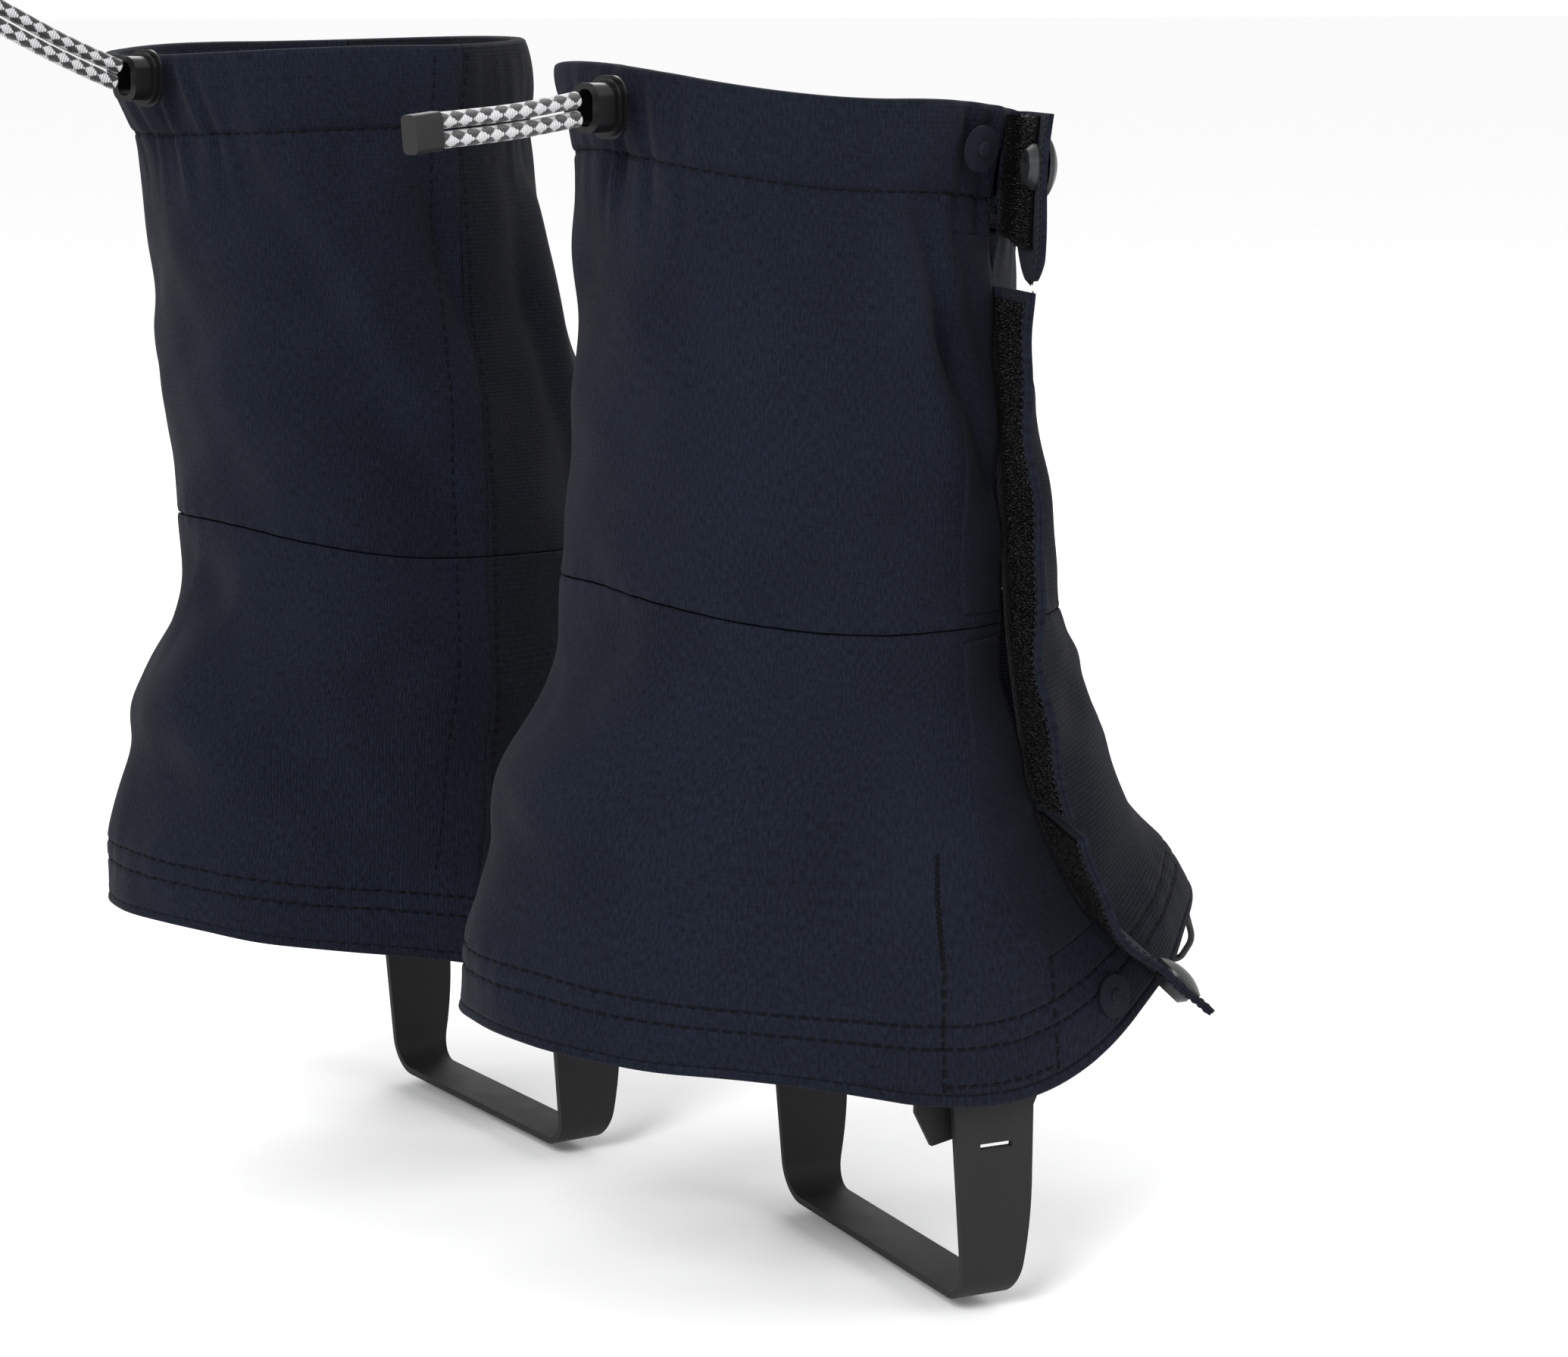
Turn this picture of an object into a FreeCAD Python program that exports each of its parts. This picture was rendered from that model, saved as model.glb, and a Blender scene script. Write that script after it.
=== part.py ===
import FreeCAD, Part
import math
import os

from FreeCAD import Vector

# A worn pair of short trail gaiters, in millimetres and degrees.
# +X points to the toes, +Z up, and the wearer's left is +Y.  The origin lies on the ground under the
# right leg.  Everything is drawn for the right gaiter, whose outer (lateral) side is -Y; the left one
# is its mirror image, turned out a little and set where the left leg stands.
#
# Angles round the leg start at the shin and run over the outer side: 0 shin, 90 outer side,
# 180 heel, 270 inner side.

os.makedirs("parts", exist_ok=True)

# ------------------------------------------------------------------ driving dimensions
LEFT_SHIFT = Vector(-41.0, 149.0, 0.0)
LEFT_TURN = 7.0

CLOTH = 1.0            # one layer of stretch woven cloth
HEM_CLOTH = 1.8        # turned up and stitched, two layers
HEM_FACE = 0.5         # the hem stands this far outside the wall
SEAM_GAP = 0.2         # left free between neighbouring panels
LEG_RADIUS = 50.0      # mean radius, for turning widths into angles
SEAM_HALF_ANGLE = math.degrees(SEAM_GAP / 2.0 / LEG_RADIUS)
SEAM_LEVEL_GAP = 0.008 # the same gap, in levels

# One row per level, from the hem up:
# reach to the heel, reach to the shin, half width, heights at heel, side and shin, closure angle
LEVELS = [
    (81.0, 101.0, 54.0, 71.0, 62.8, 86.0, 41.0),
    (80.0, 93.0, 53.5, 86.0, 77.5, 98.0, 47.0),
    (75.0, 83.0, 52.0, 106.0, 96.0, 110.0, 55.0),
    (73.0, 73.5, 50.5, 122.0, 115.5, 127.5, 60.0),
    (60.5, 68.0, 49.0, 141.0, 137.0, 143.0, 60.5),
    (54.5, 62.5, 48.5, 168.5, 159.5, 157.0, 60.5),
    (53.0, 56.5, 48.0, 199.0, 190.0, 186.0, 58.5),
    (51.0, 50.5, 48.0, 231.0, 223.0, 219.0, 57.0),
    (50.5, 48.5, 48.5, 263.0, 255.0, 246.0, 57.0),
    (54.0, 51.0, 50.5, 281.0, 273.5, 267.0, 56.0),
]
HEM_TOP = 1
MID_SEAM = 5
TUNNEL_LINE = 8
TOP = 9
HEM_DIP = 13.0         # the hem dips this far where the strap leaves it
HEM_DIP_ANGLE = 68.0
HEM_DIP_WIDTH = 28.0
INNER_SEAM_X = (-11.0, 12.0)      # the inner seam's place before the leg's middle, at the hem and at the top
LEAN_START = 121.0     # a leaning leg leaves the upright at this height,
LEAN_BEND = 30.0       # bends over about this length, and reaches its full slope above it
TAPE_WIDTH = 9.0
TAPE_THICK = 0.7

TUNNEL_ROOM = 4.4      # clear width inside the drawcord tunnel
TUNNEL_FACE = TUNNEL_ROOM / 2.0 + CLOTH
CORD = 3.5             # elastic drawcord
CORD_LEVEL = 8.6       # the drawcord's level in the tunnel

LOCK_SIZE = (8.0, 10.5, 6.5)      # along the hem, up, outward
LOCK_FLANGE = (9.5, 12.0, 1.2)
LOCK_BORE = (4.6, 8.0)
TAIL_LENGTH = 43.0
CLIP_SIZE = (7.5, 4.4, 8.0)       # along the cord, across, up

FLAP_HEADING = -103.0  # the open flap stands out sideways and a touch to the rear
FLAP_WIDTH = 20.5
FLAP_CLOTH = 1.2
FLAP_LIFT = 2.0        # the flap's root stands this far off the wall
TAB_LIFT = 2.0         # the top tab's root stands this far off the tunnel
FLAP_TOP_LEVEL = 7.36
FLAP_LOW_LEVEL = 3.05
LOWER_FLAP_LEVELS = (0.1, 1.05, 1.5, 1.95, 2.4, 2.95)
TAB_GAP = 1.6          # between the long flap's end and the top tab's round tip
TAB_WIDTH = 19.5
TAB_TIP = (2.0, 7.0)   # where the tip's curve ends: distance out and height above the tip
TAB_STRIP = (3.6, 3.0, 9.0, 22.0)  # distance out, width, height above the tip, length
STRIP = 1.4            # thickness of the hook strips
LOOP_THICK = 0.8
LOOP_LIFT = 0.35
LOOP_WIDTH = 11.0
STRIP_MARGIN = 2.4

SNAP_RADIUS = 6.4
SNAP_DOME = 3.0
SNAP_RIM = 1.0
TOP_SNAP_DROP = 11.5   # below the top edge
SOCKET_RADIUS = 5.0
SOCKET_HEIGHT = 2.6
SOCKET_BORE = 2.0
STUD_RADIUS = 1.7
STUD_HEIGHT = 1.8
# where the closed flap's sockets come down: level, turn behind the closure, height above the wall's middle
STUD_PLACES = ((8.45, 13.0, TUNNEL_FACE + 0.6), (0.6, 9.0, 1.1))

STRAP_TOP_X = (15.0, 35.5)        # rear and front edges where the strap leaves the hem
STRAP_FOOT_X = (19.0, 31.0)       # and under the sole
STRAP_THICK = 1.8
STRAP_HALF_TOP = 48.3
STRAP_HALF_FOOT = 47.3
STRAP_FOOT_Z = 3.0
STRAP_TOP_Z = 71.0
STRAP_BEND_Z = 52.0    # the rear edge leans forward below this
STRAP_PIVOT = (26.0, 66.5)        # X and Z of the strap's stud
SLIT = (8.2, 1.3, 40.0)           # length, width, height above the ground
ANCHOR_HALF = 43.2                # outer face of the anchor plates
ANCHOR_THICK = 1.5
# side view of an anchor plate, X and Z
ANCHOR_OUTLINE = [(8.0, 90.0), (42.0, 90.0), (42.0, 56.0), (37.5, 46.0), (12.0, 41.0), (8.0, 49.0)]
STUD_HEAD_HALF = 48.7             # inner face of the strap studs' heads

HOOK_AXIS = (99.0, 81.5)          # X and Z of the lace hook's loop

# Lock: its angle and how far its middle lies below the top fold.  Lifts: how much higher the outer side and
# the shin reach from the middle seam up.  Lean: the upper leg's slope along X.
SIDES = {
    "right": {
        "lock": 160.0, "lock_drop": 7.5, "tail_yaw": 1.0, "tail_pitch": -5.0,
        "side_lift": 0.0, "shin_lift": 0.0, "lean": 0.0},
    "left": {
        "lock": 198.0, "lock_drop": 4.5, "tail_yaw": 5.0, "tail_pitch": 23.0,
        "side_lift": 10.0, "shin_lift": 18.0, "lean": -0.15},
}


# ------------------------------------------------------------------ the wall's shape
def level_row(level):
    """Reads LEVELS at any height between its rows, on a smooth curve through them."""
    low = min(int(math.floor(level)), TOP - 1)
    low = max(low, 0)
    f = level - low
    p0 = LEVELS[max(low - 1, 0)]
    p1 = LEVELS[low]
    p2 = LEVELS[low + 1]
    p3 = LEVELS[min(low + 2, TOP)]
    row = []
    for a, b, c, d in zip(p0, p1, p2, p3):
        slope_b = (c - a) / 2.0
        slope_c = (d - b) / 2.0
        h = f * f * (3.0 - 2.0 * f)
        row.append(b * (1.0 - h) + c * h + slope_b * f * (1.0 - f) ** 2 - slope_c * f * f * (1.0 - f))
    return row


def closure_angle(level):
    return level_row(level)[6]


def inner_seam_angle(level):
    low, high = INNER_SEAM_X
    x = low + (high - low) * level / TOP
    back, shin = level_row(level)[:2]
    return 360.0 - math.degrees(math.acos(x / (shin if x > 0 else back)))


def lean_back(z, side):
    """How far a leaning leg has moved along X at a height."""
    above = max(0.0, z - LEAN_START)
    return SIDES[side]["lean"] * above ** 2 / (above + LEAN_BEND)


def wall_point(level, angle, offset, side):
    """A point of the wall; offset 0 is the outer face, positive offsets lie outside it."""
    back, shin, half, z_back, z_side, z_shin, _ = level_row(level)
    share_up = min(1.0, max(0.0, level - MID_SEAM) / (TUNNEL_LINE - MID_SEAM))
    z_side += SIDES[side]["side_lift"] * share_up
    z_shin += SIDES[side]["shin_lift"] * share_up
    t = math.radians(angle)
    reach = shin if math.cos(t) > 0 else back
    nx = math.cos(t) / reach
    ny = -math.sin(t) / half
    size = math.hypot(nx, ny)
    share = math.cos(t) ** 2
    z_end = z_shin if math.cos(t) > 0 else z_back
    z = z_side + (z_end - z_side) * share
    folded = min(angle % 360.0, 360.0 - angle % 360.0)
    dip = HEM_DIP * max(0.0, 1.0 - level / 3.0)
    z -= dip * math.exp(-((folded - HEM_DIP_ANGLE) / HEM_DIP_WIDTH) ** 2)
    x = reach * math.cos(t) + offset * nx / size + lean_back(z, side)
    return Vector(x, -half * math.sin(t) + offset * ny / size, z)


def wall_normal(level, angle, side):
    here = wall_point(level, angle, 0.0, side)
    along = wall_point(level, angle + 1.0, 0.0, side) - here
    up = wall_point(level + 0.1, angle, 0.0, side) - here
    normal = up.cross(along)
    normal.normalize()
    return normal


# ------------------------------------------------------------------ solids from curved faces
def grid_surface(rows):
    surface = Part.BSplineSurface()
    surface.interpolate(rows)
    return surface


def close_faces(faces):
    shell = Part.Shell(faces)
    shell.sewShape()
    solid = Part.Solid(shell)
    if solid.Volume < 0:
        solid.reverse()
    return solid


def thick_surface(outer_rows, inner_rows):
    """A closed solid between two grids of points of the same size."""
    outer = grid_surface(outer_rows)
    inner = grid_surface(inner_rows)
    faces = [outer.toShape(), inner.toShape()]
    u0, u1, v0, v1 = outer.bounds()
    s0, s1, t0, t1 = inner.bounds()
    for u, s in ((u0, s0), (u1, s1)):
        faces.append(Part.makeRuledSurface(outer.uIso(u).toShape(), inner.uIso(s).toShape(), 1))
    for v, t in ((v0, t0), (v1, t1)):
        faces.append(Part.makeRuledSurface(outer.vIso(v).toShape(), inner.vIso(t).toShape(), 1))
    return close_faces(faces)


def wall_piece(side, low, high, first, last, outer, inner, columns=24, rows=6):
    """A piece of wall between two levels and two angles; first and last give the angle at a level."""
    grids = []
    for offset in (outer, inner):
        grid = []
        for i in range(rows + 1):
            level = low + (high - low) * i / rows
            a = first(level)
            b = last(level)
            step = (b - a) / columns
            grid.append([wall_point(level, a + step * j, offset, side) for j in range(columns + 1)])
        grids.append(grid)
    return thick_surface(grids[0], grids[1])


def main_first(level):
    return closure_angle(level) + SEAM_HALF_ANGLE


def main_last(level):
    return inner_seam_angle(level) - SEAM_HALF_ANGLE


def front_first(level):
    return inner_seam_angle(level) + SEAM_HALF_ANGLE


def front_last(level):
    return 360.0 + closure_angle(level) - SEAM_HALF_ANGLE


# ------------------------------------------------------------------ cloth wall, hem and tunnel
def cloth_panels(side):
    spans = {"main": (main_first, main_last, 28), "front": (front_first, front_last, 14)}
    solids = {}
    for name, (first, last, columns) in spans.items():
        solids["hem_" + name] = wall_piece(
            side, 0.0, HEM_TOP - SEAM_LEVEL_GAP, first, last, HEM_FACE, HEM_FACE - HEM_CLOTH, columns, 3)
        solids["lower_panel_" + name] = wall_piece(
            side, HEM_TOP, MID_SEAM - SEAM_LEVEL_GAP, first, last, 0.0, -CLOTH, columns, 10)
        solids["upper_panel_" + name] = wall_piece(
            side, MID_SEAM, TUNNEL_LINE - SEAM_LEVEL_GAP, first, last, 0.0, -CLOTH, columns, 6)
        solids["tunnel_" + name] = tunnel(side, first, last, columns)
    return solids


def tunnel(side, first, last, columns):
    """The drawcord tunnel: cloth folded over at the top, hollow inside, open at both ends."""
    half_room = TUNNEL_ROOM / 2.0
    solid = wall_piece(side, TUNNEL_LINE, TOP, first, last, TUNNEL_FACE, -TUNNEL_FACE, columns, 4)
    lowest = TUNNEL_LINE + 0.12
    highest = TOP - 0.06
    room = wall_piece(
        side, lowest, highest,
        lambda level: first(level) - 1.0,
        lambda level: last(level) + 1.0,
        half_room, -half_room, columns, 4)
    return solid.cut(room)


def seam_tape(side):
    """A bonded tape over the inner seam, on the inside of the wall."""
    width = math.degrees(TAPE_WIDTH / 2.0 / LEG_RADIUS)
    return wall_piece(
        side, HEM_TOP + 0.1, TUNNEL_LINE - 0.1,
        lambda level: inner_seam_angle(level) - width,
        lambda level: inner_seam_angle(level) + width,
        -CLOTH - 0.35, -CLOTH - 0.35 - TAPE_THICK, 4, 28)


def loop_strips(side):
    """Loop strips on the main panel beside the closure, above and below the middle seam."""
    def strip_first(level):
        return closure_angle(level) + 1.8

    def strip_last(level):
        return strip_first(level) + math.degrees(LOOP_WIDTH / LEG_RADIUS)

    solids = []
    for low, high, rows in ((MID_SEAM + 0.1, TUNNEL_LINE - 0.3, 12), (HEM_TOP + 0.5, MID_SEAM - 0.1, 16)):
        solids.append(wall_piece(
            side, low, high, strip_first, strip_last, LOOP_LIFT + LOOP_THICK, LOOP_LIFT, 5, rows))
    return Part.Compound(solids)


# ------------------------------------------------------------------ flaps, tab and their strips
def heading_vector(degrees):
    return Vector(math.cos(math.radians(degrees)), math.sin(math.radians(degrees)), 0.0)


def stack_of_quads(quads):
    """A closed solid through four-cornered sections, straight from one to the next."""
    wires = [Part.makePolygon(list(quad) + [quad[0]]) for quad in quads]
    return Part.makeLoft(wires, True, True)


def flap_quad(root, out, forward, near, far, rear, front):
    """One section of a flap: near and far along the flap, rear and front through its thickness."""
    return (
        root + out * near + forward * rear,
        root + out * far + forward * rear,
        root + out * far + forward * front,
        root + out * near + forward * front,
    )


def flap_root(level, side):
    return wall_point(level, closure_angle(level), FLAP_LIFT, side)


def tab_root(level, side):
    return wall_point(level, closure_angle(level), TUNNEL_FACE + TAB_LIFT, side)


UPPER_OUT = heading_vector(FLAP_HEADING)
UPPER_FORWARD = heading_vector(FLAP_HEADING + 90.0)


def level_at_height(z, side):
    """The level at which the closure line reaches a height."""
    low, high = 0.0, float(TOP)
    for _ in range(40):
        middle = (low + high) / 2.0
        if flap_root(middle, side).z < z:
            low = middle
        else:
            high = middle
    return (low + high) / 2.0


def upper_flap(side, near, far, rear, front):
    """The long flap, standing out along the straight part of the closure."""
    quads = []
    count = 8
    for i in range(count + 1):
        level = FLAP_LOW_LEVEL + (FLAP_TOP_LEVEL - FLAP_LOW_LEVEL) * i / count
        root = flap_root(level, side)
        quads.append(flap_quad(root, UPPER_OUT, UPPER_FORWARD, near, far, rear, front))
    return stack_of_quads(quads)


def tab_frame(side):
    """The tab's lowest root point, the root's top end from there, and the tab's up and facing directions."""
    tip_z = flap_root(FLAP_TOP_LEVEL, side).z + TAB_GAP
    low = tab_root(level_at_height(tip_z, side), side)
    rise = tab_root(TOP, side) - low
    up = rise - UPPER_OUT * rise.dot(UPPER_OUT)
    up.normalize()
    return low, rise, up, UPPER_OUT.cross(up) * -1.0


def top_tab(side):
    """The snap tab above the long flap: full width at the top edge, with a round tip at its foot."""
    low, rise, up, forward = tab_frame(side)
    outline = [
        (rise.dot(UPPER_OUT), rise.dot(up)),
        (TAB_WIDTH, rise.dot(up)),
        (TAB_WIDTH - 1.5, 6.0),
        (TAB_WIDTH - 7.0, 0.0),
        TAB_TIP,
    ]
    root_top, edge_top, tip_start, tip_middle, tip_end = [
        low + UPPER_OUT * u + up * v for u, v in outline]
    edges = [
        Part.makeLine(root_top, edge_top),
        Part.makeLine(edge_top, tip_start),
        Part.Arc(tip_start, tip_middle, tip_end).toShape(),
        Part.makeLine(tip_end, root_top),
    ]
    face = Part.Face(Part.Wire(edges))
    return face.extrude(forward * FLAP_CLOTH)


def top_tab_strip(side):
    """A short hook strip on the tab's inner face, between its root and the snap."""
    low, _, up, forward = tab_frame(side)
    near, width, height, length = TAB_STRIP
    base = low + UPPER_OUT * near + up * height - forward * STRIP
    across = UPPER_OUT * width
    along = up * length
    corners = [base, base + across, base + across + along, base + along]
    face = Part.Face(Part.makePolygon(corners + [corners[0]]))
    return face.extrude(forward * STRIP)


def lower_flap_frame(side):
    """Start, run and facing of the short flap along the instep."""
    top = flap_root(FLAP_LOW_LEVEL - 0.12, side)
    foot = flap_root(0.12, side)
    run = foot - top
    run.normalize()
    out = UPPER_OUT - run * UPPER_OUT.dot(run)
    out.normalize()
    forward = out.cross(run)
    if forward.x < 0:
        forward = forward * -1.0
    return run, out, forward


def lower_flap(side, near, far, rear, front, levels):
    _, out, forward = lower_flap_frame(side)
    quads = [flap_quad(flap_root(level, side), out, forward, near, far, rear, front) for level in levels]
    return stack_of_quads(quads)


# ------------------------------------------------------------------ snap fasteners
def turned(points):
    """A solid of revolution about +Z from a profile of radius and height."""
    corners = [Vector(r, 0, z) for r, z in points]
    face = Part.Face(Part.makePolygon(corners + [corners[0]]))
    return face.revolve(Vector(0, 0, 0), Vector(0, 0, 1), 360.0)


def aim(shape, place, axis):
    """Moves a shape drawn about +Z so that +Z points along axis from place."""
    shape.Placement = FreeCAD.Placement(place, FreeCAD.Rotation(Vector(0, 0, 1), axis))
    return shape


def snap_cap():
    """A disc under part of a sphere."""
    rise = SNAP_DOME - SNAP_RIM
    ball_radius = (SNAP_RADIUS ** 2 + rise ** 2) / (2.0 * rise)
    disc = Part.makeCylinder(SNAP_RADIUS, SNAP_DOME)
    ball = Part.makeSphere(ball_radius, Vector(0, 0, SNAP_DOME - ball_radius))
    return disc.common(ball)


def snap_socket():
    return turned([
        (0.0, 0.0), (SOCKET_RADIUS, 0.0), (SOCKET_RADIUS, 0.9), (SOCKET_RADIUS - 1.4, SOCKET_HEIGHT),
        (SOCKET_BORE, SOCKET_HEIGHT), (SOCKET_BORE, 0.6), (0.0, 0.6)])


def snap_stud():
    return turned([
        (0.0, 0.0), (SOCKET_RADIUS, 0.0), (SOCKET_RADIUS, 0.7), (STUD_RADIUS - 0.3, 0.9),
        (STUD_RADIUS, STUD_HEIGHT - 0.7), (STUD_RADIUS - 0.5, STUD_HEIGHT), (0.0, STUD_HEIGHT)])


def snap_on_flap(middle, forward):
    """Cap on the outer face and socket on the inner face of a flap; middle lies on the inner face."""
    cap = aim(snap_cap(), middle + forward * FLAP_CLOTH, forward)
    socket = aim(snap_socket(), middle, forward * -1.0)
    return Part.Compound([cap, socket])


def top_snap(side):
    low, rise, up, forward = tab_frame(side)
    middle = low + UPPER_OUT * (TAB_WIDTH - 7.0) + up * (rise.dot(up) - TOP_SNAP_DROP)
    return snap_on_flap(middle, forward)


def bottom_snap(side):
    """On the straight foot of the short flap, square to it."""
    _, out, forward = lower_flap_frame(side)
    foot, knee = [flap_root(level, side) for level in LOWER_FLAP_LEVELS[:2]]
    middle = (foot + knee) * 0.5 + out * (FLAP_WIDTH - 7.5)
    facing = (knee - foot).cross(out)
    facing.normalize()
    if facing.dot(forward) < 0:
        facing = facing * -1.0
    return snap_on_flap(middle, facing)


def snap_studs(side):
    """Studs on the main panel's front margin, where the closed flap's sockets come down."""
    solids = []
    for level, turn, height in STUD_PLACES:
        angle = closure_angle(level) + turn
        normal = wall_normal(level, angle, side)
        foot = wall_point(level, angle, 0.0, side) + normal * height
        solids.append(aim(snap_stud(), foot, normal))
    return Part.Compound(solids)


# ------------------------------------------------------------------ drawcord, its lock and tail
def round_route(points, ratio=0.45):
    """Straight runs joined by tangent arcs, each as large as its two runs allow."""
    edges = []
    radii = []
    start = points[0]
    for i in range(1, len(points) - 1):
        to_last = points[i - 1] - points[i]
        to_next = points[i + 1] - points[i]
        run = min(to_last.Length, to_next.Length)
        to_last.normalize()
        to_next.normalize()
        half_turn = (math.pi - to_last.getAngle(to_next)) / 2.0
        cut = ratio * run
        radii.append(cut / math.tan(half_turn))
        enter = points[i] + to_last * cut
        leave = points[i] + to_next * cut
        inward = to_last + to_next
        inward.normalize()
        reach = radii[-1] * (1.0 / math.cos(half_turn) - 1.0)
        edges.append(Part.LineSegment(start, enter).toShape())
        edges.append(Part.Arc(enter, points[i] + inward * reach, leave).toShape())
        start = leave
    edges.append(Part.LineSegment(start, points[-1]).toShape())
    return Part.Wire(edges), radii


def tube(name, points, diameter):
    """A round cord along a route, with its volume and radii printed."""
    wire, radii = round_route(points)
    first = points[1] - points[0]
    circle = Part.Wire([Part.makeCircle(diameter / 2.0, points[0], first)])
    solid = wire.makePipeShell([circle], True, False, 0)
    share = solid.Volume / (math.pi * diameter ** 2 / 4.0 * wire.Length)
    print(name, "length", round(wire.Length, 1), "least radius", round(min(radii), 1), "share", round(share, 3))
    return solid


def drawcord(side):
    """Both halves of the elastic, held in the tunnel from the closure to the lock."""
    lock = SIDES[side]["lock"]
    begin = closure_angle(CORD_LEVEL) + 3.0
    end = 360.0 + closure_angle(CORD_LEVEL) - 3.0
    halves = []
    for name, a, b in (("outer", begin, lock - 7.0), ("inner", lock + 7.0, end)):
        count = max(4, round((b - a) / 10.5))
        points = [wall_point(CORD_LEVEL, a + (b - a) * i / count, 0.0, side) for i in range(count + 1)]
        halves.append(tube(side + " drawcord " + name, points, CORD))
    return Part.Compound(halves)


def lock_frame(side):
    """Middle of the lock's foot on the tunnel, its outward and along-the-hem directions."""
    angle = SIDES[side]["lock"]
    foot = wall_point(TOP, angle, 0.0, side) - Vector(0, 0, SIDES[side]["lock_drop"])
    outward = wall_point(TOP, angle, 1.0, side) - wall_point(TOP, angle, 0.0, side)
    outward.z = 0.0
    outward.normalize()
    along = Vector(0, 0, 1).cross(outward)
    surface = foot + outward * TUNNEL_FACE
    return surface, outward, along


def rounded_plate(width, height, radius):
    """A flat face in the XY plane with round corners."""
    w = width / 2.0 - radius
    h = height / 2.0 - radius
    bend = radius * math.sqrt(0.5)
    edges = []
    corners = ((w, h, 1, 1), (-w, h, -1, 1), (-w, -h, -1, -1), (w, -h, 1, -1))
    ends = []
    for x, y, sx, sy in corners:
        horizontal = Vector(x + sx * radius, y, 0)
        vertical = Vector(x, y + sy * radius, 0)
        pair = (horizontal, vertical) if sx == sy else (vertical, horizontal)
        ends.append(pair)
        edges.append(Part.Arc(pair[0], Vector(x + sx * bend, y + sy * bend, 0), pair[1]).toShape())
    sides = [Part.makeLine(ends[i][1], ends[(i + 1) % 4][0]) for i in range(4)]
    ordered = [edge for pair in zip(edges, sides) for edge in pair]
    return Part.Face(Part.Wire(ordered))


def place_plate(shape, place, across, outward):
    """Puts a shape drawn in XY, thick along Z, at place with X along across and Z outward."""
    up = outward.cross(across)
    turn = FreeCAD.Rotation(across, up, outward, "ZXY")
    shape.Placement = FreeCAD.Placement(place, turn)
    return shape


def cord_lock(side):
    surface, outward, along = lock_frame(side)
    width, height, depth = LOCK_SIZE
    flange_width, flange_height, flange_depth = LOCK_FLANGE
    flange = rounded_plate(flange_width, flange_height, 3.6).extrude(Vector(0, 0, flange_depth))
    barrel = rounded_plate(width, height, 2.9).extrude(Vector(0, 0, depth))
    bore = rounded_plate(LOCK_BORE[0], LOCK_BORE[1], 2.2).extrude(Vector(0, 0, depth + 2.0))
    bore.translate(Vector(0, 0, -1.0))
    body = flange.fuse(barrel).cut(bore).removeSplitter()
    return place_plate(body, surface + outward * 1.4, along, outward)


def lock_washer(side):
    """The backing plate of the lock, between lock and tunnel cloth."""
    surface, outward, along = lock_frame(side)
    plate = rounded_plate(LOCK_FLANGE[0] + 1.5, LOCK_FLANGE[1] + 1.5, 4.2).extrude(Vector(0, 0, 0.6))
    bore = rounded_plate(LOCK_BORE[0], LOCK_BORE[1], 2.2).extrude(Vector(0, 0, 3.0))
    bore.translate(Vector(0, 0, -1.0))
    return place_plate(plate.cut(bore), surface + outward * 0.7, along, outward)


def tail_frame(side):
    """Mouth of the lock and the direction in which the tail leaves it."""
    surface, outward, along = lock_frame(side)
    mouth = surface + outward * (1.4 + LOCK_SIZE[2])
    yaw = math.radians(SIDES[side]["tail_yaw"])
    pitch = math.radians(SIDES[side]["tail_pitch"])
    level_heading = outward * math.cos(yaw) + along * math.sin(yaw)
    heading = level_heading * math.cos(pitch) + Vector(0, 0, math.sin(pitch))
    up = Vector(0, 0, math.cos(pitch)) - level_heading * math.sin(pitch)
    return mouth, heading, up, Vector(0, 0, 1).cross(level_heading)


# distance along the tail, sideways, and upward of each strand's points; the strands sag and lean a little
STRAND_ROUTES = {
    "tail_cord_upper": [
        (2.6, 0.0, 2.0), (12.5, 0.2, 1.55), (23.0, 0.15, 1.4), (33.5, -0.1, 1.7), (42.9, 0.0, 2.0)],
    "tail_cord_lower": [
        (2.6, 0.0, -2.0), (12.5, -0.1, -2.4), (23.0, 0.1, -2.5), (33.5, 0.1, -2.25), (42.9, 0.0, -2.0)],
}


def tail_points(side, name):
    mouth, heading, up, along = tail_frame(side)
    return [mouth + heading * d + along * s + up * u for d, s, u in STRAND_ROUTES[name]]


def cord_clip(side):
    """The moulded end that clamps both strands of the tail."""
    mouth, heading, up, along = tail_frame(side)
    length, across, height = CLIP_SIZE
    block = rounded_plate(across, height, 1.2).extrude(Vector(0, 0, length))
    return place_plate(block, mouth + heading * TAIL_LENGTH, along, heading)


# ------------------------------------------------------------------ instep strap
def strap_outline():
    """Side view of the strap: a band with straight edges that curve in to a narrower foot."""
    rear, front = STRAP_TOP_X
    foot_rear, foot_front = STRAP_FOOT_X
    edges = [
        Part.makeLine(Vector(rear, 0, STRAP_TOP_Z), Vector(front, 0, STRAP_TOP_Z)),
        Part.makeLine(Vector(front, 0, STRAP_TOP_Z), Vector(front, 0, 30.0)),
        Part.Arc(Vector(front, 0, 30.0), Vector(front - 1.2, 0, 15.0), Vector(foot_front, 0, 0.0)).toShape(),
        Part.makeLine(Vector(foot_front, 0, 0.0), Vector(foot_rear, 0, 0.0)),
        Part.makeLine(Vector(foot_rear, 0, 0.0), Vector(rear, 0, STRAP_BEND_Z)),
        Part.makeLine(Vector(rear, 0, STRAP_BEND_Z), Vector(rear, 0, STRAP_TOP_Z)),
    ]
    face = Part.Face(Part.Wire(edges))
    face.translate(Vector(0, -80.0, 0))
    return face.extrude(Vector(0, 160.0, 0))


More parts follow.
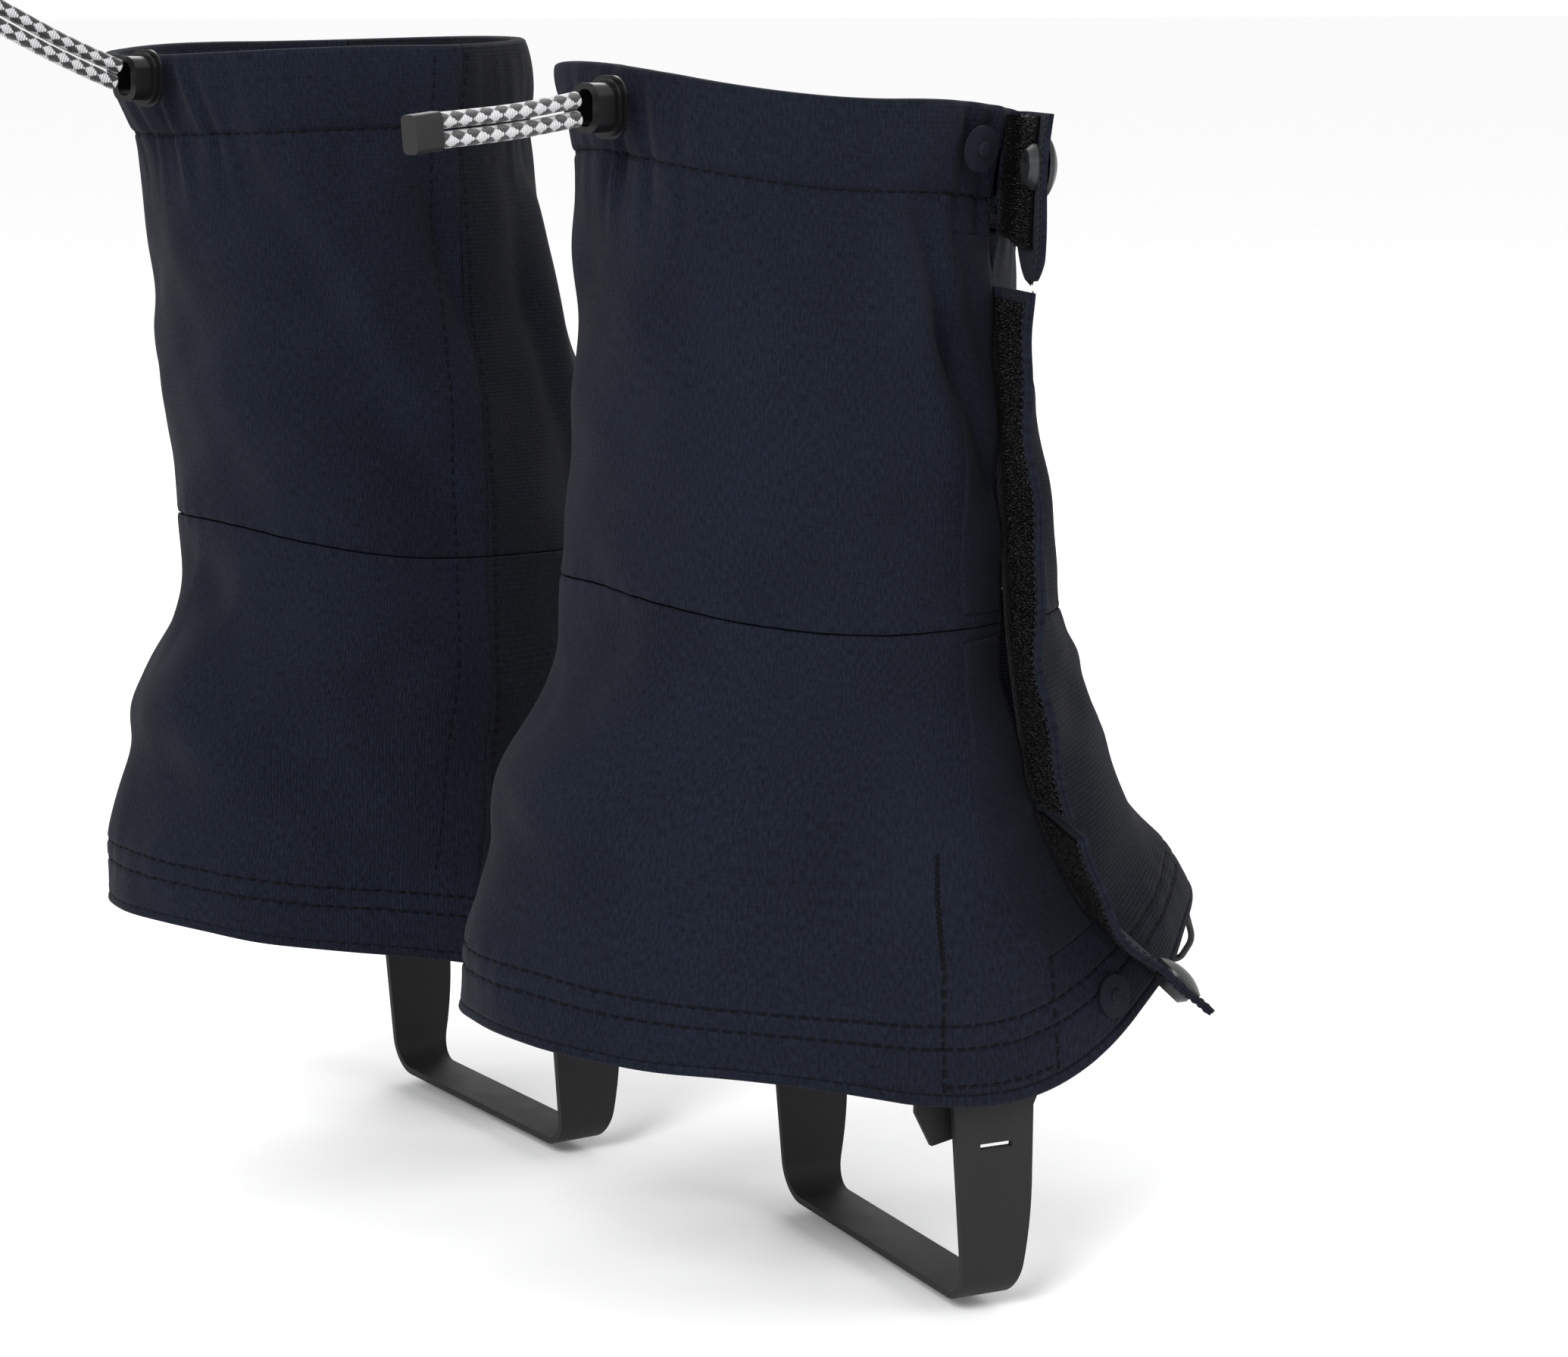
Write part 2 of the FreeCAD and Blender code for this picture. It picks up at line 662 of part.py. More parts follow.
def u_profile(shrink):
    """Front view of the stirrup's outer face, moved inward by shrink."""
    top = STRAP_HALF_TOP - shrink
    foot = STRAP_HALF_FOOT - shrink
    floor = STRAP_FOOT_Z + shrink
    bend = 9.0 - shrink
    lean = (top - foot) / (STRAP_TOP_Z - floor - bend)
    knee = floor + bend
    points = [
        Vector(0, -top, STRAP_TOP_Z + 5.0),
        Vector(0, -foot, knee),
        Vector(0, -foot + bend, floor),
        Vector(0, foot - bend, floor),
        Vector(0, foot, knee),
        Vector(0, top, STRAP_TOP_Z + 5.0),
    ]
    turn = bend * (1.0 - math.sqrt(0.5)) + lean * 0.1
    left_mid = Vector(0, -foot + turn, floor + turn)
    right_mid = Vector(0, foot - turn, floor + turn)
    edges = [
        Part.makeLine(points[0], points[1]),
        Part.Arc(points[1], left_mid, points[2]).toShape(),
        Part.makeLine(points[2], points[3]),
        Part.Arc(points[3], right_mid, points[4]).toShape(),
        Part.makeLine(points[4], points[5]),
        Part.makeLine(points[5], points[0]),
    ]
    return Part.Face(Part.Wire(edges))


def strap():
    rear, front = STRAP_TOP_X
    depth = Vector(front - rear + 4.0, 0, 0)
    outer = u_profile(0.0).extrude(depth)
    inner = u_profile(STRAP_THICK).extrude(depth)
    band = outer.cut(inner)
    band.translate(Vector(rear - 2.0, 0, 0))
    band = band.common(strap_outline())
    length, width, height = SLIT
    slit = Part.makeBox(length, 12.0, width)
    slit.translate(Vector(rear + 7.0, -STRAP_HALF_TOP - 4.0, height))
    pivot = Part.makeCylinder(2.4, 160.0, Vector(STRAP_PIVOT[0], -80.0, STRAP_PIVOT[1]), Vector(0, 1, 0))
    return band.cut(slit).cut(pivot)


def strap_anchors():
    """Trapezoid anchor plates sewn inside the hem, one on each side, behind the strap's ends."""
    solids = []
    for sign in (-1.0, 1.0):
        corners = [Vector(x, sign * ANCHOR_HALF, z) for x, z in ANCHOR_OUTLINE]
        face = Part.Face(Part.makePolygon(corners + [corners[0]]))
        solids.append(face.extrude(Vector(0, -sign * ANCHOR_THICK, 0)))
    return Part.Compound(solids)


def strap_studs():
    """Headed studs on the anchors, on which the strap's ends are buttoned."""
    x, z = STRAP_PIVOT
    reach = STUD_HEAD_HALF - ANCHOR_HALF
    solids = []
    for sign in (-1.0, 1.0):
        stud = turned([
            (0.0, 0.0), (2.0, 0.0), (2.0, reach), (4.2, reach), (4.2, reach + 0.7), (0.0, reach + 0.9)])
        solids.append(aim(stud, Vector(x, sign * ANCHOR_HALF, z), Vector(0, sign, 0)))
    return Part.Compound(solids)


# ------------------------------------------------------------------ lace hook
def hook_tab():
    """A short webbing loop inside the shin hem, carrying the hook's wire."""
    x, z = HOOK_AXIS
    ring = Part.makeCylinder(2.3, 11.0, Vector(x, -5.5, z), Vector(0, 1, 0))
    room = Part.makeCylinder(1.3, 12.0, Vector(x, -6.0, z), Vector(0, 1, 0))
    tail = Part.makeBox(13.0, 11.0, 1.2)
    tail.translate(Vector(-13.0, -5.5, 0.8))
    tail.rotate(Vector(0, 0, 0), Vector(0, 1, 0), 56.0)
    tail.translate(Vector(x, 0, z))
    return tail.fuse(ring).cut(room).removeSplitter()


def lace_hook():
    """A wire hook that turns in the webbing loop and catches the lowest lace."""
    x, z = HOOK_AXIS
    wire = 1.6
    points = [
        Vector(x, -7.6, z),
        Vector(x, 7.6, z),
        Vector(x + 3.0, 7.6, z - 10.0),
        Vector(x + 2.0, 3.4, z - 16.0),
        Vector(x - 4.5, 3.4, z - 15.0),
    ]
    mirrored = [Vector(p.x, -p.y, p.z) for p in points[:1:-1]]
    route, _ = round_route([Vector(x, 0.0, z)] + points[1:], 0.3)
    other, _ = round_route([Vector(x, 0.0, z), points[0]] + mirrored[::-1], 0.3)
    solids = []
    for path in (route, other):
        start_edge = path.Edges[0]
        begin = start_edge.valueAt(start_edge.FirstParameter)
        heading = start_edge.tangentAt(start_edge.FirstParameter)
        circle = Part.Wire([Part.makeCircle(wire / 2.0, begin, heading)])
        solids.append(path.makePipeShell([circle], True, False, 0))
    return solids[0].fuse(solids[1]).removeSplitter()


# ------------------------------------------------------------------ assembly
def gaiter(side):
    nodes = cloth_panels(side)
    nodes["seam_tape"] = seam_tape(side)
    nodes["loop_strips"] = loop_strips(side)
    nodes["snap_studs"] = snap_studs(side)

    strip_far = FLAP_WIDTH - STRIP_MARGIN
    nodes["upper_flap"] = upper_flap(side, 0.0, FLAP_WIDTH, 0.0, FLAP_CLOTH)
    nodes["upper_hook_strip"] = upper_flap(side, 2.0, strip_far, -STRIP, 0.0)
    nodes["lower_flap"] = lower_flap(side, 0.0, FLAP_WIDTH, 0.0, FLAP_CLOTH, LOWER_FLAP_LEVELS)
    nodes["lower_hook_strip"] = lower_flap(side, 2.0, strip_far, -STRIP, 0.0, LOWER_FLAP_LEVELS[1:])
    nodes["top_tab"] = top_tab(side)
    nodes["top_tab_strip"] = top_tab_strip(side)
    nodes["top_snap"] = top_snap(side)
    nodes["bottom_snap"] = bottom_snap(side)

    nodes["drawcord"] = drawcord(side)
    nodes["cord_lock"] = cord_lock(side)
    nodes["lock_washer"] = lock_washer(side)
    for name in STRAND_ROUTES:
        nodes[name] = tube(side + " " + name, tail_points(side, name), CORD)
    nodes["cord_clip"] = cord_clip(side)

    nodes["strap"] = strap()
    nodes["strap_anchors"] = strap_anchors()
    nodes["strap_studs"] = strap_studs()
    nodes["hook_tab"] = hook_tab()
    nodes["lace_hook"] = lace_hook()
    return nodes


def place(shape, side):
    if side == "right":
        return shape
    mirrored = shape.mirror(Vector(0, 0, 0), Vector(0, 1, 0))
    mirrored.rotate(Vector(0, 0, 0), Vector(0, 0, 1), LEFT_TURN)
    mirrored.translate(LEFT_SHIFT)
    return mirrored


def main():
    for side in SIDES:
        for name, shape in gaiter(side).items():
            placed = place(shape, side)
            if not placed.isValid() or any(solid.Volume <= 0 for solid in placed.Solids):
                print("check the solid of", side, name)
            placed.exportStep("parts/" + side + "_" + name + ".step")


main()
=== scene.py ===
import math

import bmesh
import bpy
import numpy as np
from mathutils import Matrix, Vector


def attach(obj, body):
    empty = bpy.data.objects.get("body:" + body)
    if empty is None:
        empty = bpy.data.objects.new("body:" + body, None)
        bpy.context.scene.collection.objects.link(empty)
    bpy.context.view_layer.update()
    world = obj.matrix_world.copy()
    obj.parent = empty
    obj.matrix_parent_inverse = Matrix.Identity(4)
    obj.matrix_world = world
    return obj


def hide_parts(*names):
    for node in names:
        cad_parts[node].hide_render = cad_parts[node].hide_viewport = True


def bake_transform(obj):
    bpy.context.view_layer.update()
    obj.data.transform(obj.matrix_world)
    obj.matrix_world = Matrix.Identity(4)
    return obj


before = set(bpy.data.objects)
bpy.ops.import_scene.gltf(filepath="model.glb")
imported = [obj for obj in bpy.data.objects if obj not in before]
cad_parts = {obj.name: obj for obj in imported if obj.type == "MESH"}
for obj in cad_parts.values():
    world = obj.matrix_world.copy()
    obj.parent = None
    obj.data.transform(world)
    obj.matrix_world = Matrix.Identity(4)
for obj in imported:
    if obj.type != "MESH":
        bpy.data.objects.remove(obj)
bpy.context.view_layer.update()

# ---- driving dimensions
# Millimetres and degrees, in the right gaiter's own frame: +X to the toes, the outer side is -Y.
# Angles round the leg: 0 shin, 90 outer side, 180 heel, 270 inner side.
LEFT_SHIFT = (-41.0, 149.0, 0.0)
LEFT_TURN = 7.0

# Reach to the heel, reach to the shin, half width, heights at heel, side and shin, closure angle
LEVELS = np.array([
    (81, 101, 54, 71, 62.8, 86, 41),
    (80, 93, 53.5, 86, 77.5, 98, 47),
    (75, 83, 52, 106, 96, 110, 55),
    (73, 73.5, 50.5, 122, 115.5, 127.5, 60),
    (60.5, 68, 49, 141, 137, 143, 60.5),
    (54.5, 62.5, 48.5, 168.5, 159.5, 157, 60.5),
    (53, 56.5, 48, 199, 190, 186, 58.5),
    (51, 50.5, 48, 231, 223, 219, 57),
    (50.5, 48.5, 48.5, 263, 255, 246, 57),
    (54, 51, 50.5, 281, 273.5, 267, 56),
])
HEM_TOP = 1
MID_SEAM = 5
TUNNEL_LINE = 8
TOP = 9
LEG_RADIUS = 50.0
INNER_SEAM_X = (-11.0, 12.0)      # before the leg's middle, at the hem and at the top
HEM_DIP = (13.0, 68.0, 28.0)      # depth, angle and width of the dip where the strap leaves the hem
LEAN_START = 121.0                # a leaning leg leaves the upright at this height,
LEAN_BEND = 30.0                  # and bends over about this length
HEM_ROWS = (0.17, 0.74, 1.0)      # levels of the hem's stitched rows

CLOTH = 0.8
HEM_FACE = 0.1         # middle of the hem's outer layer, from the wall's outer face
PANEL_FACE = -0.4      # the same for the panels above the hem
HEM_FOLD = 1.5         # from the hem's outer layer to its inner one
HEM_INNER_LEVELS = (1.28, 1.1, 0.9, 0.7, 0.5, 0.3, 0.1, 0.0)
MID_SEAM_GAP = 0.006   # part of a level left open on each side of the middle seam
TUNNEL_PUFF = 1.2      # how far the drawcord pushes the tunnel out
# Level and offset of the tunnel's inner layer, from the top edge down to its stitching
TUNNEL_LINING = [(9, -3.2), (8.85, -3.5), (8.7, -3.6), (8.55, -3.6), (8.4, -3.4), (8.25, -2.9),
                 (8.12, -2.1), (8, -1.75), (7.9, -1.7)]
TAPE_DEPTH = 1.35      # the inner seam's tape, from the wall's outer face
TAPE_THICK = 0.5
TAPE_HALF = 5.1        # half the tape's width, in degrees
STRAP_ANGLE = 75.0     # where the strap's ends are held, as an angle from the toes

# Middle, reach and spacing, in levels, of the closer rows of points beside the stitched lines
FINE_LOWER = [(0.17, 0.06, 0.016), (0.87, 0.24, 0.016), (MID_SEAM, 0.10, 0.014)]
FINE_UPPER = [(MID_SEAM, 0.10, 0.014), (TUNNEL_LINE, 0.12, 0.014)]

CORD = 3.5             # diameter of the elastic drawcord
CORD_LEVEL = 8.6
CORD_DEPTH = 1.3       # the drawcord's middle, from the wall's outer face
CLOSURE_CLEAR = 3.0    # degrees from the closure to the drawcord's ends
LOCK_CLEAR = 7.0       # degrees from the lock to the drawcord's ends
TUNNEL_FACE = 3.2      # the lock's foot and the tab's root start this far outside the wall
LOCK_DEPTH = 7.9       # from the lock's foot to its mouth

FLAP_HEADING = -103.0  # direction in which the open flap stands out
FLAP_WIDTH = 20.5
FLAP_LIFT = 2.0        # the flap's root stands this far off the wall
FLAP_TOP_LEVEL = 7.36
FLAP_LOW_LEVEL = 3.05
FLAP_FRONT = 0.6       # the flap's cloth, forward of its root
FLAP_BACK = -0.25      # its hook tape and turned edge, behind the cloth
FLAP_EDGE = 2.2        # width of the turned free edge
TAPE_INSET = 2.3       # from the free edge to the hook tape
FLAP_ROOT = -1.3       # the flap's cloth starts this share of the lift below its root
TAPE_ROOT = -1.2       # and its hook tape
FLAP_THICK = 0.9
EDGE_THICK = 0.8
HOOK_TAPE_THICK = 0.7
HOOK_FACE = 0.3        # the hooks' feet, behind the tape's middle
LOOP_WIDTH = 11.0
LOOP_START = 1.6       # degrees from the closure to the loop bands
LOOP_FACE = 0.55       # the loop bands' middle, outside the cloth's
LOOP_THICK = 0.4
LOOP_BANDS = {"upper": (5.12, 7.7, 80), "lower": (1.5, 4.88, 90)}      # levels and rows of points

TAB_LIFT = 2.0
TAB_GAP = 1.6          # from the long flap's end to the tab's tip
TAB_WIDTH = 19.5
TAB_EDGE = 2.0         # reach of the tab's rear edge at the tip
TAB_ROUND = (7.0, 5.0)            # heights of the tip's rear and front curves
TAB_THICK = 1.0

# Pitch, length and width of the dashes of each kind of stitching
CLOTH_STITCH = (3.1, 2.5, 0.80)
TUNNEL_STITCH = (2.9, 2.3, 0.80)
SEAM_STITCH = (3.0, 2.3, 0.5)
TACK_STITCH = (0.62, 1.7, 0.42)
TAPE_STITCH = (1.5, 0.9, 0.30)
EDGE_STITCH = (2.4, 1.8, 0.4)
FACE_STITCH = (2.6, 2.0, 0.45)
TAB_STITCH = (1.6, 1.0, 0.3)

# Stitched rows along the inner seam: degrees from the seam, lowest and highest level
SEAM_ROWS = {"inner_seam": (-8.5, 1.3, 8.95), "inner_edge": (1.6, 0.3, 8.95)}

# The box that holds the strap's anchor plates: X at the top and at the foot, and top level
BOX_UPRIGHTS = {"rear": (9.2, 9.2, 2.75), "front": (37.5, 41.0, 2.55)}
BOX_LOW_LEVEL = 0.20
BOX_FOOT_LEVEL = 0.30
TACK_HEIGHT = 1.15     # of the zigzag at an upright's top, in levels

SIDES = {
    "right": {
        "lock": 160.0, "lock_drop": 7.5, "tail_yaw": 1.0, "tail_pitch": -5.0,
        "side_lift": 0.0, "shin_lift": 0.0, "lean": 0.0},
    "left": {
        "lock": 198.0, "lock_drop": 4.5, "tail_yaw": 5.0, "tail_pitch": 23.0,
        "side_lift": 10.0, "shin_lift": 18.0, "lean": -0.15},
}

# Creases of the worn cloth: angle and level at both ends, width and depth (ridge +, valley -)
CREASES = {
    "right": [
        (61, 9, 66, 8.25, 2.6, -1.3),
        (71, 9, 67, 8.25, 2.4, -1.1),
        (84, 7.9, 62.5, 6, 4, -2.4),
        (94, 7.9, 72, 6.2, 5, 1.4),
        (72, 7.9, 62, 6.9, 3, -1.2),
        (185, 4.1, 150, 4.6, 9, -1.6),
        (190, 3.2, 140, 3.7, 8, 1.3),
        (200, 2.1, 150, 2.5, 8, -0.8),
        (62, 5.4, 60, 3.4, 5, -1.5),
        (74, 5, 66, 3.2, 7, 0.9),
        (120, 3.9, 75, 2.8, 9, 0.8),
        (400, 6.8, 396, 5.2, 4, -1.4),
        (388, 6.6, 384, 4.9, 4.5, 1.3),
        (378, 6.2, 372, 4.2, 5, -1.4),
        (398, 4.4, 380, 3, 6, 1.2),
        (360, 5.6, 352, 3.4, 6, 1),
        (345, 7.4, 340, 5.8, 7, -1.2),
        (325, 6.4, 300, 5, 8, 1.2),
        (262, 7.2, 255, 4, 8, -1),
        (240, 3.6, 215, 4.4, 8, -1.2),
        (250, 2.2, 285, 3.4, 8, 1),
    ],
    "left": [
        (215, 8, 248, 6.4, 6, -1.2),
        (222, 8, 262, 6, 6, 1.5),
        (268, 7.9, 277, 6.3, 4, -2),
        (276, 6.4, 270, 5.1, 6, 1.3),
        (238, 6.2, 272, 5.1, 8, -1.6),
        (180, 4.6, 200, 4.15, 7, -2.2),
        (176, 3.7, 214, 3.5, 9, 2),
        (205, 3.5, 236, 2.2, 9, -1.5),
        (196, 2.9, 226, 1.7, 9, 1),
        (250, 4.2, 268, 3.2, 8, 0.9),
        (300, 7.6, 306, 5.4, 5, -1.6),
        (316, 7.4, 312, 5.6, 6, 1.2),
        (290, 4.6, 300, 2.8, 6, -1.2),
        (330, 6, 345, 4.2, 8, 1.2),
        (66, 7.9, 63, 6.2, 5, -2),
        (96, 7.2, 110, 5.2, 9, 1),
        (130, 4.2, 100, 3.1, 9, -1.2),
        (150, 6.5, 142, 5.4, 9, 1),
    ],
}
CREASE_GAIN = 1.5

# Slow waves that no cloth is free of: waves per millimetre round and up, phase, height
SLOW_WAVES = [
    (0.021, 0.010, 0.4, 0.50),
    (0.009, 0.027, 1.9, 0.45),
    (0.034, -0.018, 3.1, 0.28),
    (-0.016, 0.041, 4.4, 0.24),
    (0.060, 0.023, 5.3, 0.12),
    (0.047, -0.052, 0.9, 0.10),
]

# Distance along the tail, sideways and upward of each strand's points
STRAND_ROUTES = {
    "tail_cord_upper": [
        (2.6, 0.0, 2.0), (12.5, 0.2, 1.55), (23.0, 0.15, 1.4), (33.5, -0.1, 1.7), (42.9, 0.0, 2.0)],
    "tail_cord_lower": [
        (2.6, 0.0, -2.0), (12.5, -0.1, -2.4), (23.0, 0.1, -2.5), (33.5, 0.1, -2.25), (42.9, 0.0, -2.0)],
}
BRAID_REPEAT = 8.5
BRAID_TURNS = (2.0, -2.0)         # checks round the strand, wound each way

CAMERA_PLACE = (-0.380, -0.779, 0.295)
CAMERA_AIM = (-0.0033, 0.0016, 0.142)
CAMERA_LENS = 88.2

# Place, size and power of each light, in metres and watts
LIGHTS = {
    "key": ((-1.5, -1.3, 1.5), 1.0, 42.0),
    "fill": ((1.3, -1.5, 0.9), 1.2, 10.0),
    "rim": ((0.6, 1.6, 1.4), 1.2, 12.0),
}
LIGHT_AIM = (0.0, 0.05, 0.13)
FLOOR_REACH = 60.0


# ---- the wall's shape
def level_row(level):
    """Reads LEVELS at any heights between its rows, on a smooth curve through them."""
    level = np.asarray(level, float)
    low = np.clip(np.floor(level).astype(int), 0, TOP - 1)
    f = (level - low)[..., None]
    p0 = LEVELS[np.maximum(low - 1, 0)]
    p1 = LEVELS[low]
    p2 = LEVELS[low + 1]
    p3 = LEVELS[np.minimum(low + 2, TOP)]
    h = f * f * (3.0 - 2.0 * f)
    slope_1 = (p2 - p0) / 2.0
    slope_2 = (p3 - p1) / 2.0
    return p1 * (1.0 - h) + p2 * h + slope_1 * f * (1.0 - f) ** 2 - slope_2 * f * f * (1.0 - f)


def closure_angle(level):
    return level_row(level)[..., 6]


def inner_seam_angle(level):
    low, high = INNER_SEAM_X
    x = low + (high - low) * np.asarray(level, float) / TOP
    row = level_row(level)
    return 360.0 - np.degrees(np.arccos(x / np.where(x > 0, row[..., 1], row[..., 0])))


def wall(side, level, angle, offset):
    """Points of the wall's outer face, moved out by offset, in the gaiter's own frame."""
    level, angle, offset = np.broadcast_arrays(np.asarray(level, float), angle, offset)
    row = level_row(level)
    back, shin, half, z_back, z_side, z_shin = [row[..., i] for i in range(6)]
    share_up = np.clip((level - MID_SEAM) / (TUNNEL_LINE - MID_SEAM), 0.0, 1.0)
    z_side = z_side + SIDES[side]["side_lift"] * share_up
    z_shin = z_shin + SIDES[side]["shin_lift"] * share_up
    t = np.radians(angle)
    front = np.cos(t) > 0
    reach = np.where(front, shin, back)
    nx = np.cos(t) / reach
    ny = -np.sin(t) / half
    size = np.hypot(nx, ny)
    z = z_side + (np.where(front, z_shin, z_back) - z_side) * np.cos(t) ** 2
    dip, place, width = HEM_DIP
    z = z - dip * np.maximum(0.0, 1.0 - level / 3.0) * near_angle(from_toes(angle), place, width)
    above = np.maximum(0.0, z - LEAN_START)
    x = reach * np.cos(t) + offset * nx / size + SIDES[side]["lean"] * above ** 2 / (above + LEAN_BEND)
    y = -half * np.sin(t) + offset * ny / size
    return np.stack([x, y, z], axis=-1)


def side_height(level):
    return level_row(level)[..., 4]


def near_angle(angle, place, width):
    return np.exp(-((angle - place) / width) ** 2)


def from_toes(angle):
    """Angle from the toes, counted the same way on the outer and the inner side."""
    return np.minimum(angle % 360.0, 360.0 - angle % 360.0)


def folds(side, level, angle):
    """How far the worn cloth stands off its even shape."""
    across = np.radians(angle) * LEG_RADIUS
    up = side_height(level)
    total = np.zeros_like(across + up)
    for angle_0, level_0, angle_1, level_1, width, depth in CREASES[side]:
        x0 = math.radians(angle_0) * LEG_RADIUS
        y0 = float(side_height(level_0))
        dx = math.radians(angle_1) * LEG_RADIUS - x0
        dy = float(side_height(level_1)) - y0
        t = np.clip(((across - x0) * dx + (up - y0) * dy) / (dx * dx + dy * dy), 0.0, 1.0)
        away = (across - x0 - t * dx) ** 2 + (up - y0 - t * dy) ** 2
        taper = 0.35 + 0.65 * np.sin(np.pi * np.clip(t, 0.06, 0.94))
        total = total + CREASE_GAIN * depth * taper * np.exp(-away / width ** 2)
    phase = 0.0 if side == "right" else 2.0
    for wave_x, wave_y, start, height in SLOW_WAVES:
        total = total + height * np.sin(2.0 * np.pi * (wave_x * across + wave_y * up) + start + phase)
    beside_strap = np.minimum(1.0, 2.0 * near_angle(from_toes(angle), STRAP_ANGLE, 24.0))
    held = beside_strap * np.clip(1.8 - level, 0.0, 1.0)
    total = total - held * np.minimum(0.0, total)
    return total + gathers(side, level, angle) + puckers(level, angle)


def gathers(side, level, angle):
    """Small gathers of the drawcord tunnel, strongest beside the lock and the closure."""
    lock = SIDES[side]["lock"]
    closure = closure_angle(level)
    share = (0.22 + 1.0 * near_angle(angle, lock, 20.0) + 0.9 * near_angle(angle, closure, 16.0)
             + 0.9 * near_angle(angle, closure + 360.0, 16.0))
    below_tunnel = np.exp(-(np.minimum(0.0, level - 7.9) / 0.32) ** 2)
    reach = below_tunnel * np.clip((TOP + 0.1 - level) / 0.5, 0.25, 1.0)
    across = np.radians(angle) * LEG_RADIUS
    shape = np.sin(across * 0.78 + 0.6 * np.sin(across * 0.21)) + 0.5 * np.sin(across * 1.31 + level * 2.0)
    return 0.62 * share * reach * shape


def puckers(level, angle):
    """The fine pucker that every stitched line draws into the cloth."""
    across = np.radians(angle) * LEG_RADIUS
    total = 0.0
    for line, reach in ((0.87, 0.42), (MID_SEAM, 0.11), (TUNNEL_LINE, 0.16)):
        near = np.exp(-((level - line) / reach) ** 2)
        total = total + 0.16 * near * np.sin(across * 1.02 + 1.7 * np.sin(across * 0.13 + line))
    return total


def cloth_offset(level):
    """Middle of the cloth's outer layer against the wall, seams drawn in."""
    level = np.asarray(level, float)
    above_hem = PANEL_FACE + (HEM_FACE - PANEL_FACE) * np.exp(-((level - HEM_TOP) / 0.35) ** 2)
    base = np.where(level < HEM_TOP, HEM_FACE, above_hem)
    puff = np.clip((level - TUNNEL_LINE) / (TOP - TUNNEL_LINE), 0.0, 1.0)
    base = base + TUNNEL_PUFF * np.sin(np.pi * puff ** 0.8) + 0.3 * puff
    grooves = [(row, 0.035, 0.55) for row in HEM_ROWS]
    grooves += [(MID_SEAM, 0.025, 0.35), (TUNNEL_LINE, 0.030, 0.70)]
    for line, width, depth in grooves:
        base = base - depth * np.exp(-((level - line) / width) ** 2)
    return base


def cloth(side, level, angle):
    """Points of the cloth's outer face, folds and all."""
    return wall(side, level, angle, cloth_offset(level) + folds(side, level, angle) + CLOTH / 2.0)


def to_row(side, points):
    """From a gaiter's own frame in millimetres to the row frame in metres."""
    points = np.array(points, float)
    if side == "left":
        points = points * (1.0, -1.0, 1.0)
        turn = math.radians(LEFT_TURN)
        x = points[..., 0] * math.cos(turn) - points[..., 1] * math.sin(turn)
        y = points[..., 0] * math.sin(turn) + points[..., 1] * math.cos(turn)
        points = np.stack([x, y, points[..., 2]], axis=-1) + LEFT_SHIFT
    return points * 0.001


def direction_to_row(side, vector):
    start = to_row(side, (0.0, 0.0, 0.0))
    out = to_row(side, vector) - start
    return out / np.linalg.norm(out)


def place_object(name, data):
    obj = bpy.data.objects.new(name, data)
    bpy.context.scene.collection.objects.link(obj)
    return obj


# ---- camera
def make_camera():
    data = bpy.data.cameras.new("camera")
    data.lens = CAMERA_LENS
    data.sensor_width = 36.0
    camera = place_object("camera", data)
    camera.location = CAMERA_PLACE
    aim = Vector(CAMERA_AIM) - Vector(CAMERA_PLACE)
    camera.rotation_euler = aim.to_track_quat("-Z", "Y").to_euler()
    bpy.context.scene.camera = camera


# ---- material helpers
def new_material(name, base, roughness, sheen=0.0, metallic=0.0, specular=0.5):
    material = bpy.data.materials.new(name)
    material.use_nodes = True
    shader = material.node_tree.nodes["Principled BSDF"]
    shader.inputs["Base Color"].default_value = (*base, 1.0)
    shader.inputs["Roughness"].default_value = roughness
    shader.inputs["Metallic"].default_value = metallic
    shader.inputs["Specular IOR Level"].default_value = specular
    shader.inputs["Sheen Weight"].default_value = sheen
    shader.inputs["Sheen Roughness"].default_value = 0.45
    return material


